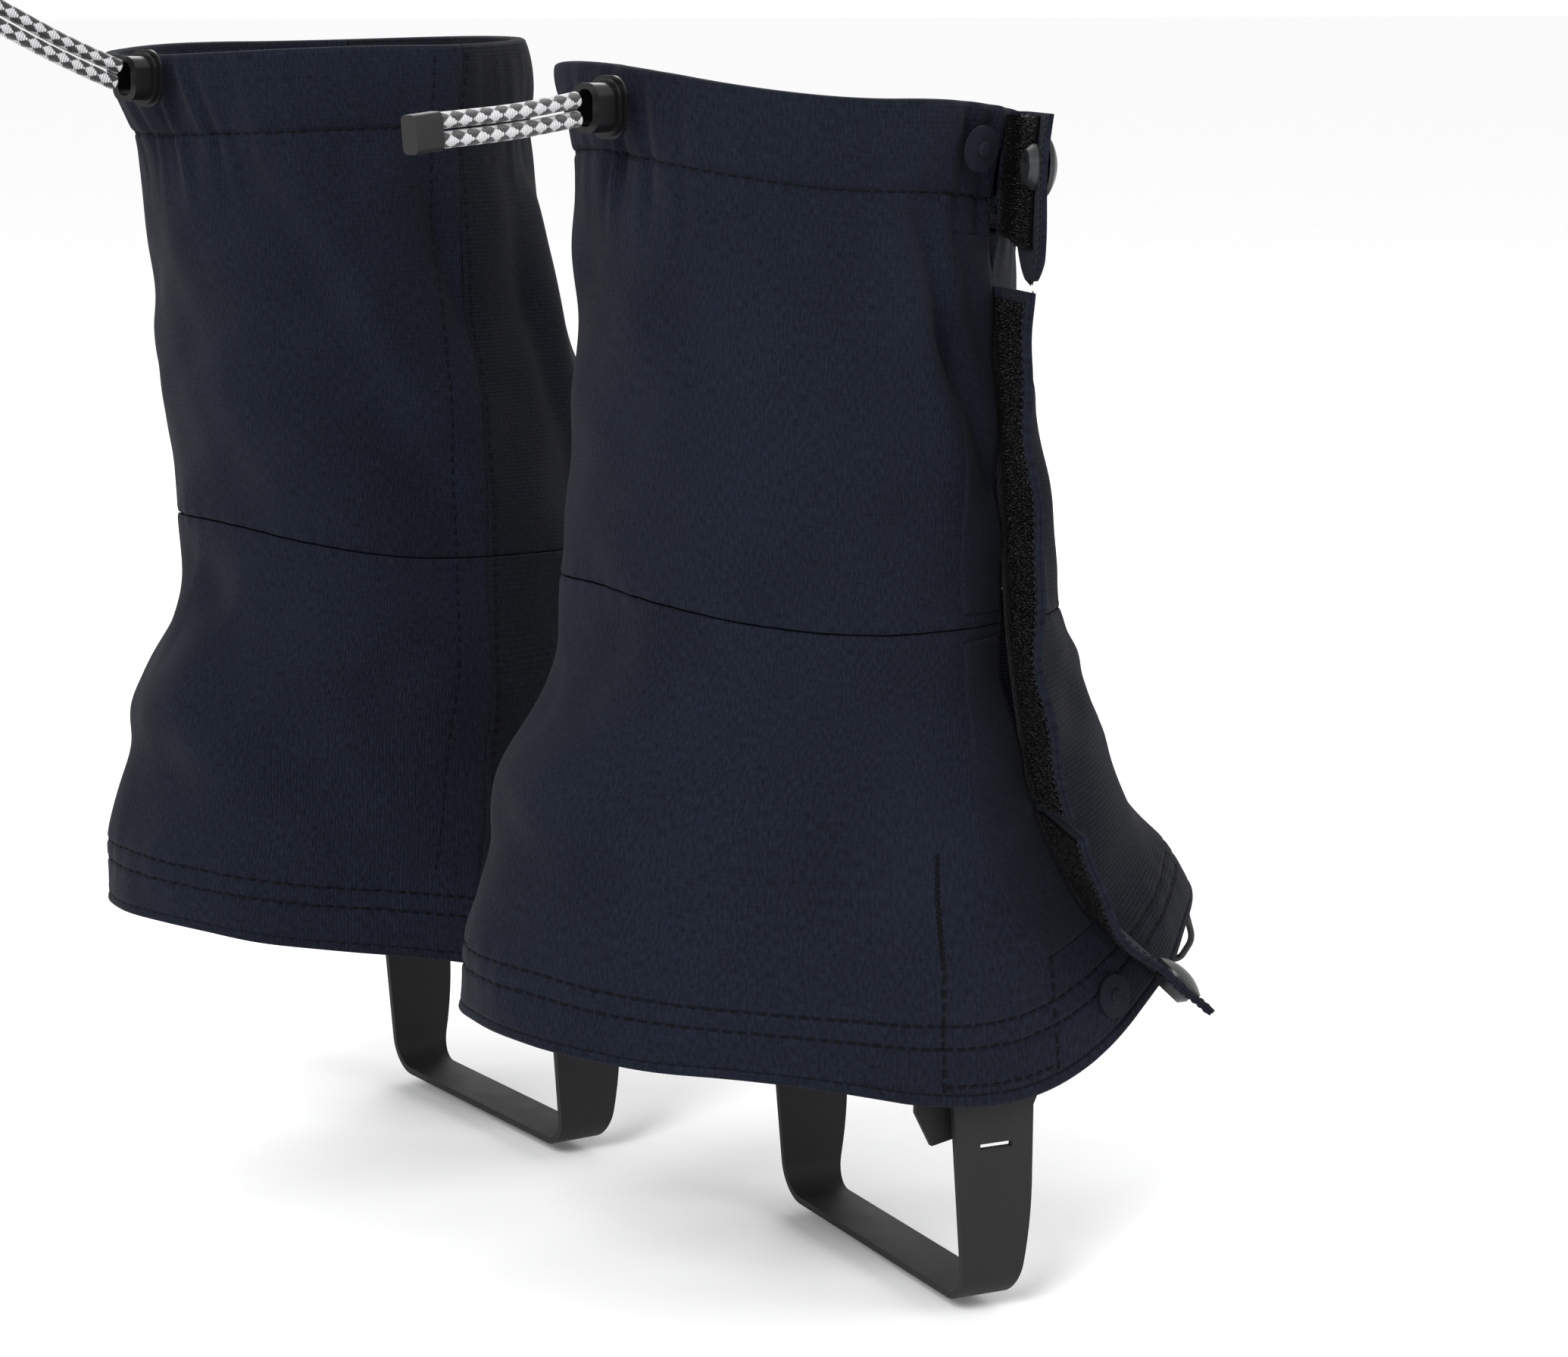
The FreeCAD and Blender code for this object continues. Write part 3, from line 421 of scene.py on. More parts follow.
class Nodes:
    """A short way to write a material's node tree."""

    def __init__(self, material):
        self.tree = material.node_tree
        self.shader = self.tree.nodes["Principled BSDF"]

    def add(self, kind, **values):
        node = self.tree.nodes.new(kind)
        for key, value in values.items():
            setattr(node, key, value)
        return node

    def join(self, source, target):
        self.tree.links.new(source, target)

    def coordinates(self, kind, scale=(1.0, 1.0, 1.0)):
        source = self.add("ShaderNodeTexCoord")
        mapping = self.add("ShaderNodeMapping")
        mapping.inputs["Scale"].default_value = scale
        self.join(source.outputs[kind], mapping.inputs["Vector"])
        return mapping.outputs["Vector"]

    def noise(self, vector, scale, detail=2.0):
        node = self.add("ShaderNodeTexNoise")
        node.inputs["Scale"].default_value = scale
        node.inputs["Detail"].default_value = detail
        self.join(vector, node.inputs["Vector"])
        return node.outputs["Fac"]

    def wave(self, vector, direction, scale, distortion=0.0):
        node = self.add("ShaderNodeTexWave", wave_type="BANDS", bands_direction=direction)
        node.inputs["Scale"].default_value = scale
        node.inputs["Distortion"].default_value = distortion
        self.join(vector, node.inputs["Vector"])
        return node.outputs["Fac"]

    def math(self, operation, first, second):
        node = self.add("ShaderNodeMath", operation=operation)
        for i, value in enumerate((first, second)):
            if isinstance(value, (int, float)):
                node.inputs[i].default_value = value
            else:
                self.join(value, node.inputs[i])
        return node.outputs[0]

    def ramp(self, value, stops):
        node = self.add("ShaderNodeValToRGB")
        ramp = node.color_ramp
        while len(ramp.elements) < len(stops):
            ramp.elements.new(0.5)
        for element, (place, colour) in zip(ramp.elements, stops):
            element.position = place
            element.color = (*colour, 1.0)
        self.join(value, node.inputs["Fac"])
        return node.outputs["Color"]

    def colour(self, value, stops):
        self.join(self.ramp(value, stops), self.shader.inputs["Base Color"])

    def roughness(self, value, low, high):
        node = self.add("ShaderNodeMapRange")
        node.inputs["To Min"].default_value = low
        node.inputs["To Max"].default_value = high
        self.join(value, node.inputs["Value"])
        self.join(node.outputs["Result"], self.shader.inputs["Roughness"])

    def bump(self, height, strength, distance):
        node = self.add("ShaderNodeBump")
        node.inputs["Strength"].default_value = strength
        node.inputs["Distance"].default_value = distance
        self.join(height, node.inputs["Height"])
        self.join(node.outputs["Normal"], self.shader.inputs["Normal"])


def cloth_material(name, dark, light, rib):
    """Stretch woven cloth; its UV map is in millimetres. rib is how strongly the weft ribs show."""
    material = new_material(name, light, 0.86, sheen=0.02, specular=0.10)
    n = Nodes(material)
    flecks = n.noise(n.coordinates("UV", (2.3, 0.55, 1.0)), 1.0, 3.0)
    crepe = n.noise(n.coordinates("UV", (1.5, 1.5, 1.0)), 1.0, 3.0)
    patches = n.noise(n.coordinates("UV", (0.03, 0.02, 0.02)), 1.0, 2.0)
    ribs = n.wave(n.coordinates("UV"), "Y", 0.30, 0.6)
    warp = n.wave(n.coordinates("UV"), "X", 0.52, 1.0)
    tone = n.math("ADD", n.math("MULTIPLY", flecks, 0.80), n.math("MULTIPLY", patches, 0.30))
    tone = n.math("ADD", tone, n.math("MULTIPLY", ribs, 0.12 * rib))
    n.colour(tone, [(0.40, dark), (0.74, light)])
    n.roughness(crepe, 0.78, 0.94)
    relief = n.math("ADD", n.math("MULTIPLY", crepe, 1.1), n.math("MULTIPLY", ribs, rib))
    relief = n.math("ADD", relief, n.math("MULTIPLY", warp, 0.35))
    n.bump(relief, 0.9, 0.00028)
    return material


def thread_material():
    material = new_material("thread", (0.002, 0.002, 0.003), 0.7, specular=0.08)
    n = Nodes(material)
    twist = n.wave(n.coordinates("Object"), "DIAGONAL", 1400.0)
    n.colour(twist, [(0.2, (0.0010, 0.0010, 0.0015)), (0.9, (0.0040, 0.0040, 0.0052))])
    n.bump(twist, 0.4, 0.0001)
    return material


def pale_thread_material():
    material = new_material("pale_thread", (0.020, 0.022, 0.030), 0.75, specular=0.08)
    n = Nodes(material)
    twist = n.wave(n.coordinates("Object"), "DIAGONAL", 1400.0)
    n.colour(twist, [(0.2, (0.014, 0.016, 0.022)), (0.9, (0.034, 0.038, 0.050))])
    return material


def fuzz_material(name, dark, light, roughness, specular):
    material = new_material(name, dark, roughness, sheen=0.02, specular=specular)
    n = Nodes(material)
    grain = n.noise(n.coordinates("Object"), 1800.0, 2.0)
    n.colour(grain, [(0.35, dark), (0.75, light)])
    n.bump(grain, 0.8, 0.0002)
    return material


def plastic_material(name, base, roughness, grain_scale):
    material = new_material(name, base, roughness, specular=0.3)
    n = Nodes(material)
    grain = n.noise(n.coordinates("Object"), grain_scale, 3.0)
    marks = n.noise(n.coordinates("Object", (1.0, 1.0, 0.3)), 90.0, 4.0)
    lighter = tuple(value * 1.35 + 0.0005 for value in base)
    darker = tuple(value * 0.8 for value in base)
    n.colour(marks, [(0.35, darker), (0.7, lighter)])
    n.roughness(marks, roughness - 0.08, roughness + 0.12)
    n.bump(grain, 0.35, 0.00008)
    return material


def metal_material(name, base, roughness, metallic):
    material = new_material(name, base, roughness, metallic=metallic)
    n = Nodes(material)
    wear = n.noise(n.coordinates("Object"), 420.0, 4.0)
    bright = tuple(min(1.0, value * 1.6 + 0.01) for value in base)
    n.colour(wear, [(0.45, base), (0.80, bright)])
    n.roughness(wear, roughness - 0.07, roughness + 0.14)
    n.bump(wear, 0.15, 0.00006)
    return material


def braid_material(side, name):
    """Black and white checks of a braided elastic, wound round the strand's own line."""
    material = new_material(side + "_" + name + "_braid", (0.4, 0.4, 0.4), 0.62, sheen=0.25)
    n = Nodes(material)
    mouth, heading, up, along = tail_frame(side)
    rise = STRAND_ROUTES[name][2][2]
    middle = to_row(side, mouth + up * rise)
    place = n.add("ShaderNodeTexCoord").outputs["Object"]
    offset = n.add("ShaderNodeVectorMath", operation="SUBTRACT")
    n.join(place, offset.inputs[0])
    offset.inputs[1].default_value = tuple(middle)
    parts = []
    for direction in (heading, up, along):
        dot = n.add("ShaderNodeVectorMath", operation="DOT_PRODUCT")
        n.join(offset.outputs["Vector"], dot.inputs[0])
        dot.inputs[1].default_value = tuple(direction_to_row(side, direction))
        parts.append(n.math("MULTIPLY", dot.outputs["Value"], 1000.0))
    distance, above, beside = parts
    turn = n.math("MULTIPLY", n.math("ARCTAN2", above, beside), 1.0 / (2.0 * math.pi))
    steps = n.math("MULTIPLY", distance, 1.0 / BRAID_REPEAT)
    checks = []
    for turns in BRAID_TURNS:
        wound = n.math("ADD", steps, n.math("MULTIPLY", turn, turns))
        checks.append(n.math("SINE", n.math("MULTIPLY", wound, 2.0 * math.pi), 0.0))
    check = n.math("MULTIPLY", checks[0], checks[1])
    slanted = n.math("ADD", distance, n.math("MULTIPLY", beside, 0.8))
    ply = n.math("SINE", n.math("MULTIPLY", slanted, 9.0), 0.0)
    fray = n.noise(n.coordinates("Object"), 2600.0, 2.0)
    tone = n.math("ADD", n.math("MULTIPLY", check, 1.6), n.math("MULTIPLY", fray, 0.7))
    tone = n.math("ADD", tone, n.math("MULTIPLY", ply, 0.12))
    n.colour(tone, [(0.24, (0.008, 0.008, 0.010)), (0.44, (0.50, 0.50, 0.51))])
    relief = n.math("ADD", n.math("ABSOLUTE", check, 0.0), n.math("MULTIPLY", ply, 0.35))
    n.bump(relief, 0.8, 0.0004)
    return material


# Dark and light colour of the cloth, and how strongly its ribs show
CLOTHS = {
    "navy_cloth": ((0.0022, 0.0031, 0.0066), (0.0072, 0.0098, 0.0188), 0.25),
    "ribbed_cloth": ((0.0018, 0.0022, 0.0042), (0.0058, 0.0068, 0.0112), 0.6),
}
# Dark and light colour, roughness and specular level
FUZZES = {
    "seam_tape": ((0.005, 0.006, 0.009), (0.012, 0.013, 0.018), 0.85, 0.15),
    # loop bands: real loop tape, a little darker than the navy cloth; the darker tone is painted shade beside
    # the flap
    "loop_strip": ((0.0022, 0.0030, 0.0062), (0.0062, 0.0082, 0.0155), 0.95, 0.15),
    "hook_strip": ((0.0006, 0.0006, 0.0008), (0.0020, 0.0020, 0.0024), 0.9, 0.04),
    "snap_metal": ((0.0030, 0.0042, 0.0085), (0.0055, 0.0075, 0.0145), 0.8, 0.15),
    "black_webbing": ((0.004, 0.004, 0.005), (0.012, 0.012, 0.014), 0.8, 0.15),
}
# Colour, roughness and scale of the grain
PLASTICS = {
    "hook_fibre": ((0.0015, 0.0015, 0.0018), 0.16, 900.0),
    "black_plastic": ((0.0028, 0.0028, 0.0032), 0.30, 1500.0),
    "clip_plastic": ((0.0065, 0.0065, 0.0070), 0.50, 1500.0),
    "strap_rubber": ((0.0060, 0.0060, 0.0066), 0.66, 2200.0),
}
# Colour, roughness and how metallic it is
METALS = {
    "snap_cap": ((0.014, 0.015, 0.016), 0.34, 0.3),
    "hook_metal": ((0.015, 0.015, 0.016), 0.4, 0.6),
}
MATERIALS = {"thread": thread_material(), "pale_thread": pale_thread_material()}
for make, kinds in ((cloth_material, CLOTHS), (fuzz_material, FUZZES), (plastic_material, PLASTICS),
                    (metal_material, METALS)):
    for kind, values in kinds.items():
        MATERIALS[kind] = make(kind, *values)


# ---- mesh helpers
def add_object(name, vertices, faces, material, uvs=None):
    mesh = bpy.data.meshes.new(name)
    mesh.from_pydata([tuple(v) for v in vertices], [], faces)
    if uvs is not None:
        layer = mesh.uv_layers.new(name="UVMap")
        loops = np.zeros(len(mesh.loops), np.int32)
        mesh.loops.foreach_get("vertex_index", loops)
        layer.data.foreach_set("uv", np.asarray(uvs, np.float32)[loops].ravel())
    mesh.materials.append(material)
    bm = bmesh.new()
    bm.from_mesh(mesh)
    bmesh.ops.recalc_face_normals(bm, faces=bm.faces)
    for face in bm.faces:
        face.smooth = True
    bm.to_mesh(mesh)
    bm.free()
    return place_object(name, mesh)


def unit(vectors):
    """The same directions at length one."""
    return vectors / np.linalg.norm(vectors, axis=-1, keepdims=True)


def square_to(normals, tangents):
    """The normals, turned square to the tangents."""
    return unit(normals - tangents * np.sum(normals * tangents, axis=-1, keepdims=True))


def tube_faces(start, rings, spokes):
    """Faces between rings of points that follow each other from start."""
    faces = []
    for ring in range(rings - 1):
        for k in range(spokes):
            a = start + ring * spokes + k
            b = start + ring * spokes + (k + 1) % spokes
            faces.append((a, b, b + spokes, a + spokes))
    return faces


def grid_normals(points):
    """Unit normals of a grid of points."""
    along_rows = np.gradient(points, axis=0)
    along_columns = np.gradient(points, axis=1)
    normals = np.cross(along_rows, along_columns)
    return normals / np.maximum(np.linalg.norm(normals, axis=-1, keepdims=True), 1e-12)


def shell(name, side, points, uvs, thickness, slot):
    """A sheet of cloth of a thickness, from a grid of points in millimetres."""
    normals = grid_normals(points)
    outer = to_row(side, points + normals * thickness / 2.0)
    inner = to_row(side, points - normals * thickness / 2.0)
    rows, columns = points.shape[:2]
    count = rows * columns
    vertices = np.concatenate([outer.reshape(-1, 3), inner.reshape(-1, 3)])
    faces = []
    for i in range(rows - 1):
        for j in range(columns - 1):
            a = i * columns + j
            quad = (a, a + 1, a + columns + 1, a + columns)
            faces.append(quad)
            faces.append(tuple(count + k for k in reversed(quad)))
    border = list(range(columns))
    border += [i * columns + columns - 1 for i in range(1, rows)]
    border += [(rows - 1) * columns + j for j in range(columns - 2, -1, -1)]
    border += [i * columns for i in range(rows - 2, 0, -1)]
    for a, b in zip(border, border[1:] + border[:1]):
        faces.append((a, b, count + b, count + a))
    flat = uvs.reshape(-1, 2)
    return add_object(name, vertices, faces, MATERIALS[slot], np.concatenate([flat, flat]))


def path_grid(side, path, first, last, columns):
    """Points along a folded path of (level, offset, rise) rows, across the panel between two angles."""
    share = np.linspace(0.0, 1.0, columns + 1)
    level, offset, rise = [values[:, None] for values in np.array(path, float).T]
    angle = first(level) + (last(level) - first(level)) * share[None, :]
    waves = folds(side, level, angle)
    points = wall(side, level, angle, offset + waves)
    points[..., 2] += rise
    steps = np.linalg.norm(np.diff(points[:, columns // 2], axis=0), axis=-1)
    v = np.concatenate([[0.0], np.cumsum(steps)])[:, None] + 0.0 * angle
    u = np.radians(angle) * LEG_RADIUS + 0.0 * v
    return points, np.stack([u, v], axis=-1)


def levels_between(low, high, step, lines):
    """Evenly spaced levels, closer together beside the stitched lines."""
    levels = list(np.arange(low, high + 1e-6, step))
    for line, reach, fine in lines:
        levels += [line + d for d in np.arange(-reach, reach + 1e-6, fine) if low <= line + d <= high]
    levels = sorted(levels)
    kept = [levels[0]]
    for level in levels[1:]:
        if level - kept[-1] > 0.004:
            kept.append(level)
    return kept


def half_turn(level, outer, inner, rise_sign):
    """Rows that carry the cloth round a turned edge, from the outer layer to the inner one."""
    radius = (outer - inner) / 2.0
    middle = (outer + inner) / 2.0
    rows = []
    for i in range(1, 8):
        a = math.pi * i / 8.0
        rows.append((level, middle + radius * math.cos(a), rise_sign * radius * 0.45 * math.sin(a)))
    return rows


def outer_rows(levels):
    return [(level, float(cloth_offset(level)), 0.0) for level in levels]


def lower_path():
    """Inner layer of the hem, round the bottom edge, and up to the middle seam."""
    levels = levels_between(0.0, MID_SEAM - MID_SEAM_GAP, 0.065, FINE_LOWER)
    inner_face = HEM_FACE - HEM_FOLD
    rows = [(level, inner_face, 0.0) for level in HEM_INNER_LEVELS]
    turn = half_turn(0.0, HEM_FACE, inner_face, -1.0)
    return rows + turn[::-1] + outer_rows(levels)


def upper_path():
    """From the middle seam up, over the top fold, and down inside to the tunnel's stitching."""
    levels = levels_between(MID_SEAM + MID_SEAM_GAP, TOP, 0.055, FINE_UPPER)
    rows = outer_rows(levels) + half_turn(TOP, float(cloth_offset(TOP)), TUNNEL_LINING[0][1], 1.0)
    return rows + [(level, offset, 0.0) for level, offset in TUNNEL_LINING]


def main_first(level):
    return closure_angle(level) + 0.15


def main_last(level):
    return inner_seam_angle(level) - 0.05


def front_first(level):
    return inner_seam_angle(level) + 0.05


def front_last(level):
    return 360.0 + closure_angle(level) - 0.15


# ---- cloth panels
# Path from edge to edge, first and last angle, columns of points, cloth, and the nodes it stands for
PANELS = {
    "main_lower": (lower_path, main_first, main_last, 190, "navy_cloth", ("hem_main", "lower_panel_main")),
    "main_upper": (upper_path, main_first, main_last, 190, "navy_cloth", ("upper_panel_main", "tunnel_main")),
    "front_lower": (lower_path, front_first, front_last, 110, "ribbed_cloth",
                    ("hem_front", "lower_panel_front")),
    "front_upper": (upper_path, front_first, front_last, 110, "ribbed_cloth",
                    ("upper_panel_front", "tunnel_front")),
}


def make_panels(side):
    for name, (path, first, last, columns, slot, nodes) in PANELS.items():
        points, uvs = path_grid(side, path(), first, last, columns)
        piece = shell(side + "_cloth_" + name, side, points, uvs, CLOTH, slot)
        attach(piece, side + "_gaiter")
        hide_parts(*[side + "_" + node for node in nodes])


def band_uvs(levels, angle):
    """UV map of a band on the wall, in millimetres."""
    return np.stack([np.radians(angle) * LEG_RADIUS, side_height(levels) + 0.0 * angle], axis=-1)


def make_seam_tape(side):
    """Bonded tape over the inner seam, on the inside."""
    levels = np.linspace(1.3, 7.85, 90)[:, None]
    angle = inner_seam_angle(levels) + np.linspace(-TAPE_HALF, TAPE_HALF, 9)[None, :]
    points = wall(side, levels, angle, folds(side, levels, angle) - TAPE_DEPTH)
    uvs = band_uvs(levels, angle)
    piece = shell(side + "_inner_tape", side, points, uvs, TAPE_THICK, "seam_tape")
    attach(piece, side + "_gaiter")
    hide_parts(side + "_seam_tape")


def make_loop_bands(side):
    """Brushed loop bands beside the closure, near the cloth's colour but a little darker; the darker tone is
    painted shade beside the flap.
    """
    for name, (low, high, count) in LOOP_BANDS.items():
        levels = np.linspace(low, high, count)[:, None]
        across = np.linspace(0.0, math.degrees(LOOP_WIDTH / LEG_RADIUS), 12)[None, :]
        angle = closure_angle(levels) + LOOP_START + across
        points = wall(side, levels, angle, cloth_offset(levels) + folds(side, levels, angle) + LOOP_FACE)
        uvs = band_uvs(levels, angle)
        piece = shell(side + "_loop_band_" + name, side, points, uvs, LOOP_THICK, "loop_strip")
        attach(piece, side + "_gaiter")
        if name == "upper":
            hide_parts(side + "_loop_strips")


# ---- stitching
def stitch_mesh(name, side, centres, normals, tangents, stitch, material, body):
    """One dash of thread at each centre, its ends drawn into the cloth."""
    _, length, width = stitch
    rings = ((-0.5, 0.25, -0.30), (-0.36, 0.9, 0.02), (0.0, 1.0, 0.10), (0.36, 0.9, 0.02), (0.5, 0.25, -0.30))
    spokes = 6
    vertices = []
    faces = []
    for centre, normal, tangent in zip(centres, normals, tangents):
        across = np.cross(normal, tangent)
        start = len(vertices)
        for along, swell, lift in rings:
            for k in range(spokes):
                a = 2.0 * math.pi * k / spokes
                raised = normal * (lift + 0.4 * math.sin(a) * width * swell)
                vertices.append(centre + tangent * along * length + raised
                                + across * 0.5 * math.cos(a) * width * swell)
        faces += tube_faces(start, len(rings), spokes)
        faces.append(tuple(start + k for k in range(spokes)))
        faces.append(tuple(start + (len(rings) - 1) * spokes + k for k in reversed(range(spokes))))
    piece = add_object(name, to_row(side, vertices), faces, MATERIALS[material])
    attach(piece, body)


def read_line(places, run, values):
    """Values that belong to a line's points, read at places along its run."""
    return np.stack([np.interp(places, run, values[:, i]) for i in range(3)], axis=-1)


def even_steps(points, pitch):
    """Places every pitch along a line of points, the run of its points, and centres and tangents there."""
    steps = np.linalg.norm(np.diff(points, axis=0), axis=-1)
    run = np.concatenate([[0.0], np.cumsum(steps)])
    places = np.arange(pitch / 2.0, run[-1], pitch)
    centres = read_line(places, run, points)
    tangents = unit(read_line(places + 0.3, run, points) - read_line(places - 0.3, run, points))
    return places, run, centres, tangents


def cloth_stitches(name, side, level, angle, stitch=CLOTH_STITCH):
    """A stitched row on the cloth along level and angle arrays."""
    points = cloth(side, level, angle)
    upward = cloth(side, level + 0.02, angle) - points
    onward = cloth(side, level, angle + 0.2) - points
    places, run, centres, tangents = even_steps(points, stitch[0])
    normals = square_to(read_line(places, run, unit(np.cross(upward, onward))), tangents)
    stitch_mesh(side + "_stitches_" + name, side, centres, normals, tangents, stitch, "thread",
                side + "_gaiter")


def panel_row(side, name, level, span, stitch):
    """A stitched row at one level, from a panel's first edge to its last."""
    first, last = span
    angle = np.linspace(float(first(np.array(level))) + 0.6, float(last(np.array(level))) - 0.6, 900)
    cloth_stitches(name, side, np.full_like(angle, level), angle, stitch)


def angle_at(x, level, label):
    """Angle, on the outer or the inner side, at which the wall stands at X."""
    row = level_row(level)
    reach = np.where(np.asarray(x) > 0, row[..., 1], row[..., 0])
    angle = np.degrees(np.arccos(np.clip(x / reach, -1.0, 1.0)))
    return 360.0 - angle if label == "inner" else angle


def make_stitching(side):
    for name, span in (("main", (main_first, main_last)), ("front", (front_first, front_last))):
        for number, level in enumerate(HEM_ROWS):
            panel_row(side, "hem_" + str(number) + "_" + name, level, span, CLOTH_STITCH)
        panel_row(side, "tunnel_" + name, TUNNEL_LINE, span, TUNNEL_STITCH)
    for name, (turn, low, high) in SEAM_ROWS.items():
        levels = np.linspace(low, high, 700)
        cloth_stitches(name, side, levels, inner_seam_angle(levels) + turn, SEAM_STITCH)
    box_stitch(side)


def box_stitch(side):
    """Bar tacks and box that hold the strap's anchor plates, on both sides of the hem."""
    for label in ("outer", "inner"):
        for name, (x_top, x_low, top) in BOX_UPRIGHTS.items():
            levels = np.linspace(BOX_LOW_LEVEL, top, 300)
            x = x_low + (x_top - x_low) * (levels - BOX_LOW_LEVEL) / (top - BOX_LOW_LEVEL)
            angle = angle_at(x, levels, label)
            cloth_stitches("box_" + name + "_" + label, side, levels, angle)
            bar_tack(side, name + "_" + label, levels, angle, top)
        x = np.linspace(BOX_UPRIGHTS["rear"][1], BOX_UPRIGHTS["front"][1], 200)
        levels = np.full_like(x, BOX_FOOT_LEVEL)
        cloth_stitches("box_foot_" + label, side, levels, angle_at(x, levels, label))


def bar_tack(side, name, levels, angle, top):
    """Dense zigzag at the top of a box stitch's upright."""
    dense = levels > top - TACK_HEIGHT
    points = cloth(side, levels[dense], angle[dense])
    places, run, centres, tangents = even_steps(points, TACK_STITCH[0])
    across = read_line(places, run, unit(cloth(side, levels[dense], angle[dense] + 0.5) - points))
    normals = np.cross(tangents, across)
    lean = np.where(np.arange(len(places)) % 2 == 0, 1.0, -1.0)[:, None]
    directions = unit(across + tangents * 0.28 * lean)
    stitch_mesh(side + "_bar_tack_" + name, side, centres, normals, directions, TACK_STITCH, "thread",
                side + "_gaiter")


# ---- closure
def heading_vector(degrees):
    return np.array([math.cos(math.radians(degrees)), math.sin(math.radians(degrees)), 0.0])


UPPER_OUT = heading_vector(FLAP_HEADING)
UPPER_FORWARD = heading_vector(FLAP_HEADING + 90.0)


def flap_root(level, side):
    return wall(side, level, closure_angle(level), FLAP_LIFT)


def tab_root(level, side):
    return wall(side, level, closure_angle(level), TUNNEL_FACE + TAB_LIFT)


def lower_flap_frame(side):
    """Run and facing of the short flap along the instep."""
    run = flap_root(0.12, side) - flap_root(FLAP_LOW_LEVEL - 0.12, side)
    run /= np.linalg.norm(run)
    out = UPPER_OUT - run * UPPER_OUT.dot(run)
    out /= np.linalg.norm(out)
    forward = np.cross(out, run)
    if forward[0] < 0:
        forward = -forward
    return run, out, forward


def flap_waves(run, share):
    """The free edge's gentle wave along the flap."""
    return share ** 2 * (0.9 * np.sin(run * 0.115 + 0.8) + 0.45 * np.sin(run * 0.26 + 2.0))


def flap_grid(roots, feet, out, forward, near, far, depth, columns):
    """Points of one layer of a flap: rows along its root line, columns outward.

    Negative reach runs from the root down to its feet on the wall, and -1 lies on them.
    """
    steps = np.linalg.norm(np.diff(roots, axis=0), axis=-1)
    run = np.concatenate([[0.0], np.cumsum(steps)])[:, None]
    share = np.linspace(0.0, 1.0, columns + 1)[None, :]
    reach = near + (far - near) * share
    sway = flap_waves(run, np.clip(reach / FLAP_WIDTH, 0.0, 1.0))
    inward = (roots - feet)[:, None, :] * np.minimum(reach, 0.0)[..., None]
    points = roots[:, None, :] + inward + out * np.maximum(reach, 0.0)[..., None]
    points = points + forward * (depth + sway)[..., None]
    uvs = np.stack([reach + 0.0 * run, run + 0.0 * reach], axis=-1)
    return points, uvs


def hook_field(name, side, points, forward, body, spacing, height, seed):
    """Small bent hooks standing on a strip's face, on the side away from forward."""
    rng = np.random.default_rng(seed)
    rows, columns = points.shape[:2]
    length = float(np.linalg.norm(np.diff(points[:, 0], axis=0), axis=-1).sum())
    width = float(np.linalg.norm(np.diff(points[0], axis=0), axis=-1).sum())
    count_long = int(length / spacing)
    count_wide = int(width / spacing)
    vertices = []
    faces = []
    spokes = 3
    for i in range(count_long):
        for j in range(count_wide):
            r = (i + rng.uniform(0.1, 0.9)) / count_long * (rows - 1)
            c = (j + rng.uniform(0.1, 0.9)) / count_wide * (columns - 1)
            r0, c0 = int(r), int(c)
            fr, fc = r - r0, c - c0
            base = (points[r0, c0] * (1 - fr) * (1 - fc) + points[r0 + 1, c0] * fr * (1 - fc)
                    + points[r0, c0 + 1] * (1 - fr) * fc + points[r0 + 1, c0 + 1] * fr * fc)
            turn = rng.uniform(0.0, 2.0 * math.pi)
            tall = height * rng.uniform(0.7, 1.15)
            side_a = np.cross(forward, (0.0, 0.0, 1.0))
            side_b = np.cross(forward, side_a)
            lean = side_a * math.cos(turn) + side_b * math.sin(turn)
            line = [base, base - forward * tall * 0.75 + lean * 0.12, base - forward * tall + lean * 0.42,
                    base - forward * tall * 0.72 + lean * 0.66]
            start = len(vertices)
            other = np.cross(lean, forward)
            for step, place in enumerate(line):
                thick = 0.085 if step < 3 else 0.04
                for k in range(spokes):
                    a = 2.0 * math.pi * k / spokes
                    vertices.append(place + (lean * math.cos(a) + other * math.sin(a)) * thick)
            faces += tube_faces(start, len(line), spokes)
    piece = add_object(name, to_row(side, vertices), faces, MATERIALS["hook_fibre"])
    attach(piece, body)


def line_stitches(name, side, points, normal, stitch, material, body):
    """A stitched row along a line of points that all face one way."""
    _, _, centres, tangents = even_steps(points, stitch[0])
    normals = square_to(np.broadcast_to(normal, centres.shape), tangents)
    stitch_mesh(name, side, centres, normals, tangents, stitch, material, body)


